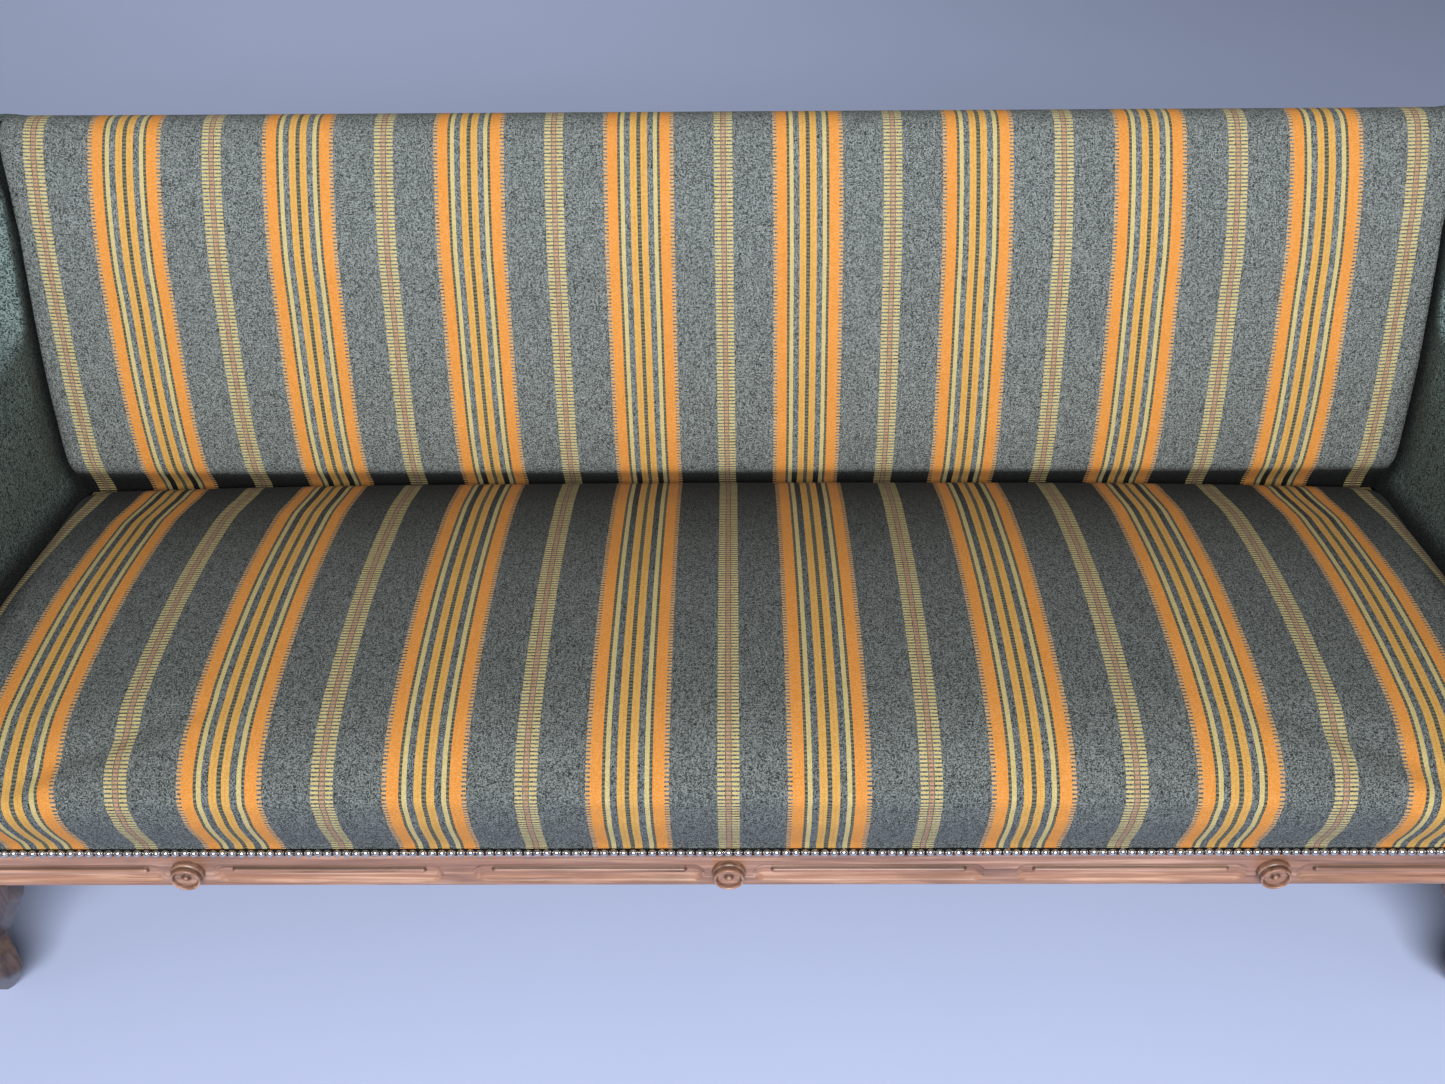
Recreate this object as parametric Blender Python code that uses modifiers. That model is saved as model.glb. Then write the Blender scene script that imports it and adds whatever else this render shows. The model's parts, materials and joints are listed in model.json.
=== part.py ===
"""A three-seater sofa: tight striped seat and back between winged arms, on a carved front rail.

Metres, +Z up. The front faces -Y, +X is to the right as seen from the front, and the origin is on the
floor under the middle of the sofa.
"""

import math

import bmesh
import bpy
import numpy as np
from mathutils import Matrix

# Whole sofa
OVERALL_WIDTH = 2.0
OVERALL_DEPTH = 0.84
WING_HEIGHT = 0.872
ARM_HEIGHT = 0.612
ARM_THICKNESS = 0.098
SEAT_HEIGHT = 0.464
WING_STAND = 0.032
LEG_HEIGHT = 0.248
CLEARANCE = 0.0003

# Frame timbers
RAIL_HEIGHT = 0.087
FRONT_RAIL_THICKNESS = 0.040
FRAME_THICKNESS = 0.040
BACK_TOP_PAD = 0.036
BACK_RAKE = 0.075
BACK_RAIL_HEIGHT = 0.045
LOWER_BACK_RAIL_RISE = 0.085
MUNTIN_WIDTH = 0.045
MUNTIN_SPREAD = 0.620
REAR_LEG_SPLAY = 0.062
REAR_FOOT_DEPTH = 0.034
ARM_POST_DEPTH = 0.070
ARM_RAIL_HEIGHT = 0.035
CORNER_BLOCK_WIDTH = 0.085
CORNER_BLOCK_HEIGHT = 0.040
CORNER_BLOCK_TIP = 0.020

# Upholstery
NOSE_OVERHANG = 0.037
COVER_THICKNESS = 0.0025
COVER_LAP = 0.035
CREASE_DEPTH = 0.042
SEAT_SIDE_REACH = 0.250
BACK_FRONT_DEPTH = 0.228
BACK_SIDE_SET = 0.008
BACK_SIDE_REACH = 0.080
HESSIAN_THICKNESS = 0.002
HESSIAN_LAP = 0.006
HESSIAN_TAIL = 0.020
STRAP_WIDTH = 0.055
STRAP_THICKNESS = 0.002
STRAP_MARGIN = 0.010
SEAT_STRAP_END = 0.195
BACK_STRAP_END = 0.070
BACK_HESSIAN_THICKNESS = 0.0015
DUST_COVER_THICKNESS = 0.0012
DUST_COVER_MARGIN = 0.003

# Arms
ARM_FRONT_PAD = 0.013
ARM_FRONT_RADIUS = 0.055
WING_DEPTH = 0.211
WING_SLOPE_RUN = 0.085
WING_FOOT_RADIUS = 0.050
WING_TOP_RADIUS = 0.050
WING_REAR_RADIUS = 0.016
WING_REAR_FALL = 0.045
INSIDE_ARM_THICKNESS = 0.010
OUTSIDE_COVER_THICKNESS = 0.0147
OUTSIDE_BACK_THICKNESS = 0.010
OUTSIDE_HEM_RISE = 0.004
WING_BOARD_INSET = 0.006

# Carving and rosettes on the front rail
CHANNEL_WIDTH = 0.025
CHANNEL_DEPTH = 0.0045
CHANNEL_GAP = 0.040
REED_DIAMETER = 0.0056
REED_SHORT = 0.020
ROSETTE_DIAMETER = 0.038
ROSETTE_DEPTH = 0.0095
ROSETTE_MARGIN = 0.033
RAIL_END_BAY = 0.369
RAIL_END_PLAIN = 0.081

# Nails
NAIL_DIAMETER = 0.0102
NAIL_HEIGHT = 0.003
NAIL_PITCH = 0.0107
NAIL_RISE = 0.0055
NAIL_STRIP_HEIGHT = 0.0106
NAIL_STRIP_THICKNESS = 0.0005
NAIL_SINK = 0.0002

# Front legs
LEG_WIDTH = 0.165

# Springs
SPRING_RADIUS = 0.045
SPRING_WAIST = 0.033
SPRING_WIRE = 0.0036

# Counts
SEAT_STRAPS = 9
BACK_STRAPS = 8
SPRING_TURNS = 3
POINTS_PER_TURN = 8
ARC_STEPS = 5
ROSETTE_STEPS = 18
CUTTER_SEGMENTS = 28
CUTTER_RINGS = 9
REED_SEGMENTS = 10
REED_RINGS = 5
NAIL_SEGMENTS = 6
NAIL_RINGS = 4
STRAPS_PER_ROW = 2
TACKED_POINTS = 3
TAIL_POINTS = 1

# Places that follow from the sizes above
NOSE_Y = -OVERALL_DEPTH / 2
BACK_Y = OVERALL_DEPTH / 2
BACK_HEIGHT = WING_HEIGHT - WING_STAND
FRAME_TOP = BACK_HEIGHT - BACK_TOP_PAD
ARM_INNER_X = OVERALL_WIDTH / 2 - ARM_THICKNESS
SEAT_EDGE_X = ARM_INNER_X - CLEARANCE
FRAME_OUTER_X = OVERALL_WIDTH / 2 - OUTSIDE_COVER_THICKNESS - CLEARANCE
FRAME_INNER_X = FRAME_OUTER_X - FRAME_THICKNESS
RAIL_TOP = LEG_HEIGHT + RAIL_HEIGHT
RAIL_FRONT_Y = NOSE_Y + NOSE_OVERHANG
RAIL_BACK_Y = RAIL_FRONT_Y + FRONT_RAIL_THICKNESS
TACK_Y = RAIL_FRONT_Y - CLEARANCE - COVER_THICKNESS
COVER_BOTTOM = RAIL_TOP - COVER_LAP
CARVING_HEIGHT = LEG_HEIGHT + (RAIL_HEIGHT - COVER_LAP) / 2
ROSETTE_X = FRAME_OUTER_X - RAIL_END_BAY
SEAT_RISE = SEAT_HEIGHT - RAIL_TOP
SEAT_RUN = OVERALL_DEPTH - BACK_FRONT_DEPTH - CREASE_DEPTH
SEAT_DROP_SHARE = 0.31
SEAT_SIDE_DROP = SEAT_DROP_SHARE * SEAT_RISE
HESSIAN_SHARE = 0.48
HESSIAN_RISE = HESSIAN_SHARE * SEAT_RISE
BACK_BASE_Y = BACK_Y - BACK_FRONT_DEPTH
BACK_BASE_SHARE = 0.504
BACK_BASE_HEIGHT = RAIL_TOP + BACK_BASE_SHARE * SEAT_RISE
BACK_RISE = BACK_HEIGHT - BACK_BASE_HEIGHT
FRAME_LEAN = math.atan2(BACK_RAKE, FRAME_TOP - LEG_HEIGHT)
TOP_REST = FRAME_TOP + CLEARANCE
LOWER_BACK_RAIL_BOTTOM = RAIL_TOP + LOWER_BACK_RAIL_RISE

# Seat section at the middle of the sofa: shares of the run, of the rise and of the drop at the sides
SEAT_SECTION_SHARES = (
    (0.040, 0.054, 0.05),
    (0.016, 0.364, 0.36),
    (0.000, 0.620, 0.62),
    (0.014, 0.720, 0.75),
    (0.040, 0.790, 0.85),
    (0.095, 0.891, 1.00),
    (0.193, 0.977, 1.00),
    (0.356, 1.000, 1.00),
    (0.500, 0.973, 1.00),
    (0.607, 0.928, 1.00),
    (0.735, 0.837, 1.00),
    (0.881, 0.705, 0.95),
    (1.000, 0.570, 0.90),
    (1.053, 0.496, 0.75),
    (1.075, 0.411, 0.60),
    (1.084, 0.240, 0.25),
)
TACK_SHARE = 0.6
TACK_TOP = COVER_BOTTOM + TACK_SHARE * COVER_LAP

# Back section: shares of the depth, of the rise and of the set-back at the sides
BACK_SECTION_SHARES = (
    (0.070, -0.060, 0.0),
    (0.020, -0.023, 0.6),
    (0.000, 0.004, 1.0),
    (0.022, 0.052, 1.0),
    (0.101, 0.320, 1.0),
    (0.232, 0.554, 1.0),
    (0.295, 0.683, 1.0),
    (0.404, 0.830, 1.0),
    (0.505, 0.903, 1.0),
    (0.610, 0.963, 0.8),
    (0.673, 0.987, 0.5),
    (0.757, 1.000, 0.2),
    (0.847, 0.992, 0.0),
    (0.924, 0.969, 0.0),
    (0.964, 0.950, 0.0),
    (0.988, 0.939, 0.0),
    (0.997, 0.930, 0.0),
)

# Sections across the sofa, as shares of half the seat's width
STATION_SHARES = (-1, -0.95, -0.86, -0.7, -0.48, -0.24, 0, 0.24, 0.48, 0.7, 0.86, 0.95, 1)

# Front leg: shares of its height, then of its width for the inner and the outer side
LEG_SHARES = (
    (0.000, 0.464, 0.142),
    (0.202, 0.642, 0.024),
    (0.242, 0.667, 0.006),
    (0.279, 0.679, 0.000),
    (0.384, 0.661, 0.036),
    (0.432, 0.636, 0.085),
    (0.476, 0.612, 0.115),
    (0.539, 0.685, 0.085),
    (0.610, 0.745, 0.060),
    (0.686, 0.806, 0.030),
    (0.795, 0.891, 0.012),
    (0.888, 0.970, 0.000),
    (1.000, 1.000, 0.000),
)
LEG_BACK_SHARE = 0.68
LEG_CHAMFER_SHARE = 0.12

# Rosette, from its middle out and down to its back: shares of its radius and of its depth
ROSETTE_SHARES = (
    (0.00, 0.70),
    (0.17, 0.63),
    (0.27, 0.34),
    (0.50, 0.30),
    (0.70, 0.62),
    (0.80, 1.00),
    (0.90, 0.95),
    (0.93, 0.55),
    (1.00, 0.45),
    (1.00, 0.00),
    (0.00, 0.00),
)

SPRING_ROW_SHARES = (0.16, 0.50, 0.84)
SPRING_ROWS = ("left_outer", "left_inner", "centre", "right_inner", "right_outer")
BACK_STRAP_ROW_SHARES = (0.34, 0.66)
REED_SINK_SHARE = 0.3
SHARP_ANGLE = math.radians(35)
QUARTER_TURN = math.radians(90)
WELD = 0.00005

# Colour, roughness and metallic value of each finish
FINISHES = {
    "show_wood": ((0.33, 0.20, 0.14), 0.45, 0.0),
    "frame_wood": ((0.52, 0.36, 0.20), 0.70, 0.0),
    "striped_fabric": ((0.55, 0.40, 0.18), 0.85, 0.0),
    "green_fabric": ((0.09, 0.12, 0.11), 0.90, 0.0),
    "nickel": ((0.62, 0.60, 0.57), 0.30, 1.0),
    "spring_steel": ((0.35, 0.32, 0.30), 0.40, 1.0),
    "webbing": ((0.55, 0.45, 0.30), 0.90, 0.0),
    "hessian": ((0.45, 0.35, 0.20), 0.95, 0.0),
    "stuffing": ((0.75, 0.70, 0.60), 0.95, 0.0),
    "dust_cloth": ((0.03, 0.03, 0.03), 0.95, 0.0),
}


def clear_scene():
    for old in list(bpy.data.objects):
        bpy.data.objects.remove(old, do_unlink=True)


def new_collection(name):
    collection = bpy.data.collections.new(name)
    bpy.context.scene.collection.children.link(collection)
    return collection


def new_material(name):
    colour, roughness, metallic = FINISHES[name]
    material = bpy.data.materials.new(name)
    material.use_nodes = True
    shader = material.node_tree.nodes["Principled BSDF"]
    shader.inputs["Base Color"].default_value = (*colour, 1)
    shader.inputs["Roughness"].default_value = roughness
    shader.inputs["Metallic"].default_value = metallic
    return material


clear_scene()
SOFA = new_collection("three_seater_sofa")
CUTTERS = new_collection("cutters")
MATERIALS = {name: new_material(name) for name in FINISHES}


def place(name, data, finish):
    """A named object of the sofa with its finish."""
    piece = bpy.data.objects.new(name, data)
    data.materials.append(MATERIALS[finish])
    SOFA.objects.link(piece)
    return piece


def place_cutter(name, mesh):
    """A helper that cuts or joins, and isn't a piece of the sofa."""
    helper = bpy.data.objects.new(name, mesh)
    helper.hide_render = True
    helper.display_type = "WIRE"
    CUTTERS.objects.link(helper)
    return helper


def mesh_of(name, bm):
    """The bmesh as a mesh with its faces outward."""
    bmesh.ops.recalc_face_normals(bm, faces=bm.faces)
    mesh = bpy.data.meshes.new(name)
    bm.to_mesh(mesh)
    bm.free()
    return mesh


def smooth(mesh):
    mesh.shade_smooth()
    mesh.set_sharp_from_angle(angle=SHARP_ANGLE)


def box(name, low, high, finish):
    """A box between two opposite corners."""
    low, high = np.array(low), np.array(high)
    bm = bmesh.new()
    bmesh.ops.create_cube(bm, size=1)
    bmesh.ops.scale(bm, vec=high - low, verts=bm.verts)
    piece = place(name, mesh_of(name, bm), finish)
    piece.location = (low + high) / 2
    return piece


def flat_curve(name, outline, thickness):
    """A filled flat outline, thick along its own Z on both sides."""
    curve = bpy.data.curves.new(name, "CURVE")
    curve.dimensions = "2D"
    curve.fill_mode = "BOTH"
    curve.extrude = thickness / 2
    spline = curve.splines.new("POLY")
    spline.points.add(len(outline) - 1)
    for point, (across, up) in zip(spline.points, outline):
        point.co = (across, up, 0, 1)
    spline.use_cyclic_u = True
    return curve


def side_slab(name, outline, near_x, far_x, finish):
    """A slab whose outline is drawn in depth and height, between two places across the sofa."""
    piece = place(name, flat_curve(name, outline, abs(far_x - near_x)), finish)
    piece.location.x = (near_x + far_x) / 2
    piece.rotation_euler = (QUARTER_TURN, 0, QUARTER_TURN)
    return piece


def floor_slab(name, outline, bottom, top, finish):
    """A slab whose outline is drawn in plan, between two heights."""
    piece = place(name, flat_curve(name, outline, top - bottom), finish)
    piece.location.z = (bottom + top) / 2
    return piece


def loft(name, sections, finish):
    """A closed skin through rings of points, with a face across each end."""
    bm = bmesh.new()
    rings = [[bm.verts.new(point) for point in section] for section in sections]
    for near, far in zip(rings, rings[1:]):
        for i in range(len(near)):
            bm.faces.new((near[i - 1], near[i], far[i], far[i - 1]))
    bm.faces.new(rings[0])
    bm.faces.new(rings[-1])
    mesh = mesh_of(name, bm)
    smooth(mesh)
    return place(name, mesh, finish)


def offset(line, distance):
    """The same line moved sideways to its right, with mitred corners."""
    steps = np.diff(line, axis=0)
    steps /= np.linalg.norm(steps, axis=1, keepdims=True)
    right = np.column_stack((steps[:, 1], -steps[:, 0]))
    before = np.vstack((right[:1], right))
    after = np.vstack((right, right[-1:]))
    mitre = before + after
    mitre /= (mitre * before).sum(axis=1, keepdims=True)
    return line + distance * mitre


def rounded(corners):
    """The line through corners given as depth, height and radius, each turned by an arc."""
    spots = np.array([corner[:2] for corner in corners])
    line = [spots[0]]
    for i in range(1, len(corners) - 1):
        radius = corners[i][2]
        if not radius:
            line.append(spots[i])
            continue
        into = (spots[i] - spots[i - 1]) / np.linalg.norm(spots[i] - spots[i - 1])
        out = (spots[i + 1] - spots[i]) / np.linalg.norm(spots[i + 1] - spots[i])
        side = math.copysign(1, into[0] * out[1] - into[1] * out[0])
        turn = math.acos(into @ out)
        start = spots[i] - into * radius * math.tan(turn / 2)
        centre = start + side * radius * np.array((-into[1], into[0]))
        for angle in side * turn * np.arange(ARC_STEPS + 1) / ARC_STEPS:
            turned = np.array(((math.cos(angle), -math.sin(angle)), (math.sin(angle), math.cos(angle))))
            line.append(centre + turned @ (start - centre))
    line.append(spots[-1])
    return np.array(line)


def back_face_y(height):
    """Depth of the outer face of the sofa's back at a height."""
    return BACK_Y - (FRAME_TOP - height) * math.tan(FRAME_LEAN)


def frame_rear_y(height):
    return back_face_y(height) - OUTSIDE_BACK_THICKNESS - CLEARANCE


def frame_front_y(height):
    return frame_rear_y(height) - FRAME_THICKNESS


def before_frame_y(height, forward):
    """Depth of a plane that lies a distance forward of the back frame's front face."""
    return frame_front_y(height) - forward / math.cos(FRAME_LEAN)


def leaning_board(name, bottom, top, near_x, far_x, finish):
    """A board of the back frame between two heights, as deep as the rear posts."""
    outline = (
        (frame_front_y(bottom), bottom),
        (frame_rear_y(bottom), bottom),
        (frame_rear_y(top), top),
        (frame_front_y(top), top),
    )
    return side_slab(name, outline, near_x, far_x, finish)


STUFFING_REAR = 3 * CLEARANCE + STRAP_THICKNESS + BACK_HESSIAN_THICKNESS
ARM_REAR = 2 * CLEARANCE + STRAP_THICKNESS


def side_name(side):
    return "left" if side < 0 else "right"


def rods_mesh(name, radius, rods, segments, rings):
    """Round-ended rods along X in one mesh. Each rod is its middle and its length."""
    bm = bmesh.new()
    for middle, length in rods:
        made = bmesh.ops.create_uvsphere(bm, u_segments=segments, v_segments=rings, radius=radius)
        verts = made["verts"]
        for vert in verts:
            vert.co.z += math.copysign(length / 2 - radius, vert.co.z)
        bmesh.ops.rotate(bm, matrix=Matrix.Rotation(QUARTER_TURN, 3, "Y"), verts=verts)
        bmesh.ops.translate(bm, vec=middle, verts=verts)
    return mesh_of(name, bm)


def combine(piece, helper, operation):
    change = piece.modifiers.new(helper.name, "BOOLEAN")
    change.operation = operation
    change.object = helper


def channel_spans():
    """First and last place across the rail of each carved channel."""
    inner = (ROSETTE_X - 2 * ROSETTE_MARGIN - CHANNEL_GAP) / 2
    starts_ends = (
        (ROSETTE_MARGIN, ROSETTE_MARGIN + inner),
        (ROSETTE_X - ROSETTE_MARGIN - inner, ROSETTE_X - ROSETTE_MARGIN),
        (ROSETTE_X + ROSETTE_MARGIN, FRAME_OUTER_X - RAIL_END_PLAIN),
    )
    return [(side * start, side * end) for side in (-1, 1) for start, end in starts_ends]


def build_front_rail():
    rail = box(
        "front_rail",
        (-FRAME_OUTER_X, RAIL_FRONT_Y, LEG_HEIGHT),
        (FRAME_OUTER_X, RAIL_BACK_Y, RAIL_TOP),
        "show_wood",
    )
    # A channel is the segment of a round rod that sinks into the face.
    cutter_radius = ((CHANNEL_WIDTH / 2) ** 2 + CHANNEL_DEPTH**2) / (2 * CHANNEL_DEPTH)
    cutter_y = RAIL_FRONT_Y + CHANNEL_DEPTH - cutter_radius
    reed_radius = REED_DIAMETER / 2
    reed_y = RAIL_FRONT_Y + CHANNEL_DEPTH - reed_radius * REED_SINK_SHARE
    channels, reeds = [], []
    for start, end in channel_spans():
        middle = (start + end) / 2
        length = abs(end - start)
        channels.append(((middle, cutter_y, CARVING_HEIGHT), length - CHANNEL_WIDTH + 2 * cutter_radius))
        reeds.append(((middle, reed_y, CARVING_HEIGHT), length - 2 * REED_SHORT))
    channel_mesh = rods_mesh("channels", cutter_radius, channels, CUTTER_SEGMENTS, CUTTER_RINGS)
    reed_mesh = rods_mesh("reeds", reed_radius, reeds, REED_SEGMENTS, REED_RINGS)
    combine(rail, place_cutter("channels", channel_mesh), "DIFFERENCE")
    combine(rail, place_cutter("reeds", reed_mesh), "UNION")


def build_rosettes():
    for name, x in (("left", -ROSETTE_X), ("centre", 0), ("right", ROSETTE_X)):
        bm = bmesh.new()
        points = [
            bm.verts.new((across * ROSETTE_DIAMETER / 2, 0, up * ROSETTE_DEPTH))
            for across, up in ROSETTE_SHARES
        ]
        for first, second in zip(points, points[1:]):
            bm.edges.new((first, second))
        mesh = bpy.data.meshes.new(f"rosette_{name}")
        bm.to_mesh(mesh)
        bm.free()
        rosette = place(f"rosette_{name}", mesh, "show_wood")
        turn = rosette.modifiers.new("turn", "SCREW")
        turn.steps = turn.render_steps = ROSETTE_STEPS
        turn.use_merge_vertices = True
        turn.merge_threshold = WELD
        turn.use_smooth_shade = True
        rosette.location = (x, RAIL_FRONT_Y - CLEARANCE, CARVING_HEIGHT)
        rosette.rotation_euler.x = QUARTER_TURN


def build_nail_strip():
    """Domed heads in a row on the thin strip that carries them."""
    strip_front = TACK_Y - CLEARANCE - NAIL_STRIP_THICKNESS
    height = COVER_BOTTOM + NAIL_RISE
    strip = box(
        "front_nail_strip",
        (-FRAME_OUTER_X, strip_front, height - NAIL_STRIP_HEIGHT / 2),
        (FRAME_OUTER_X, strip_front + NAIL_STRIP_THICKNESS, height + NAIL_STRIP_HEIGHT / 2),
        "nickel",
    )
    count = int((2 * FRAME_OUTER_X - NAIL_DIAMETER) / NAIL_PITCH)
    bm = bmesh.new()
    bmesh.ops.create_uvsphere(bm, u_segments=NAIL_SEGMENTS, v_segments=NAIL_RINGS, radius=NAIL_DIAMETER / 2)
    whole = bm.verts[:] + bm.edges[:] + bm.faces[:]
    bmesh.ops.bisect_plane(bm, geom=whole, plane_co=(0, 0, 0), plane_no=(0, 0, 1), clear_inner=True)
    bmesh.ops.holes_fill(bm, edges=bm.edges)
    bmesh.ops.scale(bm, vec=(1, 1, 2 * NAIL_HEIGHT / NAIL_DIAMETER), verts=bm.verts)
    bmesh.ops.rotate(bm, matrix=Matrix.Rotation(QUARTER_TURN, 3, "X"), verts=bm.verts)
    first = (-NAIL_PITCH * (count - 1) / 2, strip_front + NAIL_SINK, height)
    bmesh.ops.translate(bm, vec=first, verts=bm.verts)
    heads = place_cutter("nail_heads", mesh_of("nail_heads", bm))
    row = heads.modifiers.new("row", "ARRAY")
    row.count = count
    row.use_relative_offset = False
    row.use_constant_offset = True
    row.constant_offset_displace = (NAIL_PITCH, 0, 0)
    combine(strip, heads, "UNION")


def build_front_leg(side):
    """Square sections with cut corners, from the foot up to the bracket under the rail."""
    sections = []
    top = LEG_HEIGHT - CLEARANCE
    for up, inner, outer in LEG_SHARES:
        near_x = FRAME_OUTER_X - outer * LEG_WIDTH
        far_x = FRAME_OUTER_X - inner * LEG_WIDTH
        near_y = RAIL_FRONT_Y + outer * LEG_WIDTH
        far_y = RAIL_FRONT_Y + min(inner, LEG_BACK_SHARE) * LEG_WIDTH
        cut = LEG_CHAMFER_SHARE * min(near_x - far_x, far_y - near_y)
        outline = (
            (near_x - cut, near_y),
            (near_x, near_y + cut),
            (near_x, far_y - cut),
            (near_x - cut, far_y),
            (far_x + cut, far_y),
            (far_x, far_y - cut),
            (far_x, near_y + cut),
            (far_x + cut, near_y),
        )
        sections.append([(side * x, y, up * top) for x, y in outline])
    loft(f"{side_name(side)}_front_leg", sections, "show_wood")


def build_rear_post(side):
    """Leg and back stile in one piece: splayed below the seat, raked above it."""
    foot_y = frame_front_y(LEG_HEIGHT) + REAR_LEG_SPLAY
    outline = (
        (foot_y, 0),
        (foot_y + REAR_FOOT_DEPTH, 0),
        (frame_rear_y(LEG_HEIGHT), LEG_HEIGHT),
        (frame_rear_y(FRAME_TOP), FRAME_TOP),
        (frame_front_y(FRAME_TOP), FRAME_TOP),
        (frame_front_y(LEG_HEIGHT), LEG_HEIGHT),
    )
    name = f"{side_name(side)}_rear_post"
    side_slab(name, outline, side * FRAME_INNER_X, side * FRAME_OUTER_X, "frame_wood")


def build_side_rail(side):
    outline = (
        (RAIL_BACK_Y + CLEARANCE, LEG_HEIGHT),
        (frame_front_y(LEG_HEIGHT) - CLEARANCE, LEG_HEIGHT),
        (frame_front_y(RAIL_TOP) - CLEARANCE, RAIL_TOP),
        (RAIL_BACK_Y + CLEARANCE, RAIL_TOP),
    )
    name = f"{side_name(side)}_side_rail"
    side_slab(name, outline, side * FRAME_INNER_X, side * FRAME_OUTER_X, "frame_wood")


def build_corner_block(side, at_front):
    """A glued block across a corner of the seat frame."""
    corner_x = side * (FRAME_INNER_X - CLEARANCE)
    corner_y = RAIL_BACK_Y + CLEARANCE if at_front else frame_front_y(LEG_HEIGHT) - CLEARANCE
    inward_x = -side
    inward_y = 1 if at_front else -1
    outline = (
        (corner_x, corner_y),
        (corner_x + inward_x * CORNER_BLOCK_WIDTH, corner_y),
        (corner_x + inward_x * CORNER_BLOCK_WIDTH, corner_y + inward_y * CORNER_BLOCK_TIP),
        (corner_x + inward_x * CORNER_BLOCK_TIP, corner_y + inward_y * CORNER_BLOCK_WIDTH),
        (corner_x, corner_y + inward_y * CORNER_BLOCK_WIDTH),
    )
    name = f"{side_name(side)}_{'front' if at_front else 'rear'}_corner_block"
    floor_slab(name, outline, LEG_HEIGHT + CLEARANCE, LEG_HEIGHT + CORNER_BLOCK_HEIGHT, "frame_wood")


def build_back_frame():
    inner = FRAME_INNER_X - CLEARANCE
    lower_top = LOWER_BACK_RAIL_BOTTOM + BACK_RAIL_HEIGHT
    top_bottom = FRAME_TOP - BACK_RAIL_HEIGHT
    leaning_board("rear_seat_rail", LEG_HEIGHT, RAIL_TOP, -inner, inner, "frame_wood")
    leaning_board("lower_back_rail", LOWER_BACK_RAIL_BOTTOM, lower_top, -inner, inner, "frame_wood")
    leaning_board("top_back_rail", top_bottom, FRAME_TOP, -inner, inner, "frame_wood")
    for side in (-1, 1):
        middle = side * MUNTIN_SPREAD / 2
        leaning_board(
            f"{side_name(side)}_back_muntin",
            lower_top + CLEARANCE,
            top_bottom - CLEARANCE,
            middle - MUNTIN_WIDTH / 2,
            middle + MUNTIN_WIDTH / 2,
            "frame_wood",
        )


def lattice(name, strap_xs, strap_ys, end_x, low_y, high_y, finish):
    """Straps both ways in one sheet, centred on the given places."""
    half = STRAP_WIDTH / 2
    xs = sorted({-end_x, end_x, *(x + s * half for x in strap_xs for s in (-1, 1))})
    ys = sorted({low_y, high_y, *(y + s * half for y in strap_ys for s in (-1, 1))})
    bm = bmesh.new()
    corners = {}
    for x0, x1 in zip(xs, xs[1:]):
        for y0, y1 in zip(ys, ys[1:]):
            long_strap = any(abs((x0 + x1) / 2 - x) < half for x in strap_xs)
            cross_strap = any(abs((y0 + y1) / 2 - y) < half for y in strap_ys)
            if not (long_strap or cross_strap):
                continue
            for spot in ((x0, y0), (x1, y0), (x1, y1), (x0, y1)):
                if spot not in corners:
                    corners[spot] = bm.verts.new((*spot, 0))
            bm.faces.new([corners[spot] for spot in ((x0, y0), (x1, y0), (x1, y1), (x0, y1))])
    mesh = bpy.data.meshes.new(name)
    bm.to_mesh(mesh)
    bm.free()
    sheet = place(name, mesh, finish)
    wall = sheet.modifiers.new("thickness", "SOLIDIFY")
    wall.thickness = STRAP_THICKNESS
    wall.offset = -1
    return sheet


def spring_row_y(share):
    return RAIL_BACK_Y + share * (frame_front_y(LEG_HEIGHT) - RAIL_BACK_Y)


def seat_strap_xs():
    end = FRAME_INNER_X - SEAT_STRAP_END
    return [float(x) for x in np.linspace(-end, end, SEAT_STRAPS)]


def build_seat_webbing():
    webbing = lattice(
        "seat_webbing",
        seat_strap_xs(),
        [spring_row_y(share) for share in SPRING_ROW_SHARES],
        FRAME_OUTER_X - STRAP_MARGIN,
        RAIL_FRONT_Y + STRAP_MARGIN,
        frame_rear_y(LEG_HEIGHT) - STRAP_MARGIN,
        "webbing",
    )
    webbing.location.z = LEG_HEIGHT - CLEARANCE


def build_dust_cover():
    """The cloth under the seat, cut back round the four legs."""
    top = LEG_HEIGHT - 2 * CLEARANCE - STRAP_THICKNESS
    side = FRAME_OUTER_X - STRAP_MARGIN
    front = RAIL_FRONT_Y + STRAP_MARGIN
    rear = frame_rear_y(LEG_HEIGHT) - STRAP_MARGIN
    leg_x = FRAME_OUTER_X - LEG_WIDTH - DUST_COVER_MARGIN
    leg_y = RAIL_FRONT_Y + LEG_BACK_SHARE * LEG_WIDTH + DUST_COVER_MARGIN
    post_x = FRAME_INNER_X - DUST_COVER_MARGIN
    post_y = frame_front_y(LEG_HEIGHT) - DUST_COVER_MARGIN
    right_half = [
        (leg_x, front),
        (leg_x, leg_y),
        (side, leg_y),
        (side, post_y),
        (post_x, post_y),
        (post_x, rear),
    ]
    left_half = [(-x, y) for x, y in reversed(right_half)]
    floor_slab("dust_cover", right_half + left_half, top - DUST_COVER_THICKNESS, top, "dust_cloth")


HESSIAN_FRONT_Y = RAIL_BACK_Y - HESSIAN_LAP
HESSIAN_REAR_Y = frame_front_y(RAIL_TOP) + HESSIAN_LAP
HESSIAN_REST = RAIL_TOP + CLEARANCE


def hessian_top(y):
    """Height of the upper face of the hessian, which slopes down to the rear rail."""
    front = RAIL_TOP + HESSIAN_RISE
    rear = HESSIAN_REST + HESSIAN_THICKNESS
    share = (y - HESSIAN_FRONT_Y) / (HESSIAN_REAR_Y - HESSIAN_FRONT_Y)
    return front + share * (rear - front)


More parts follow.
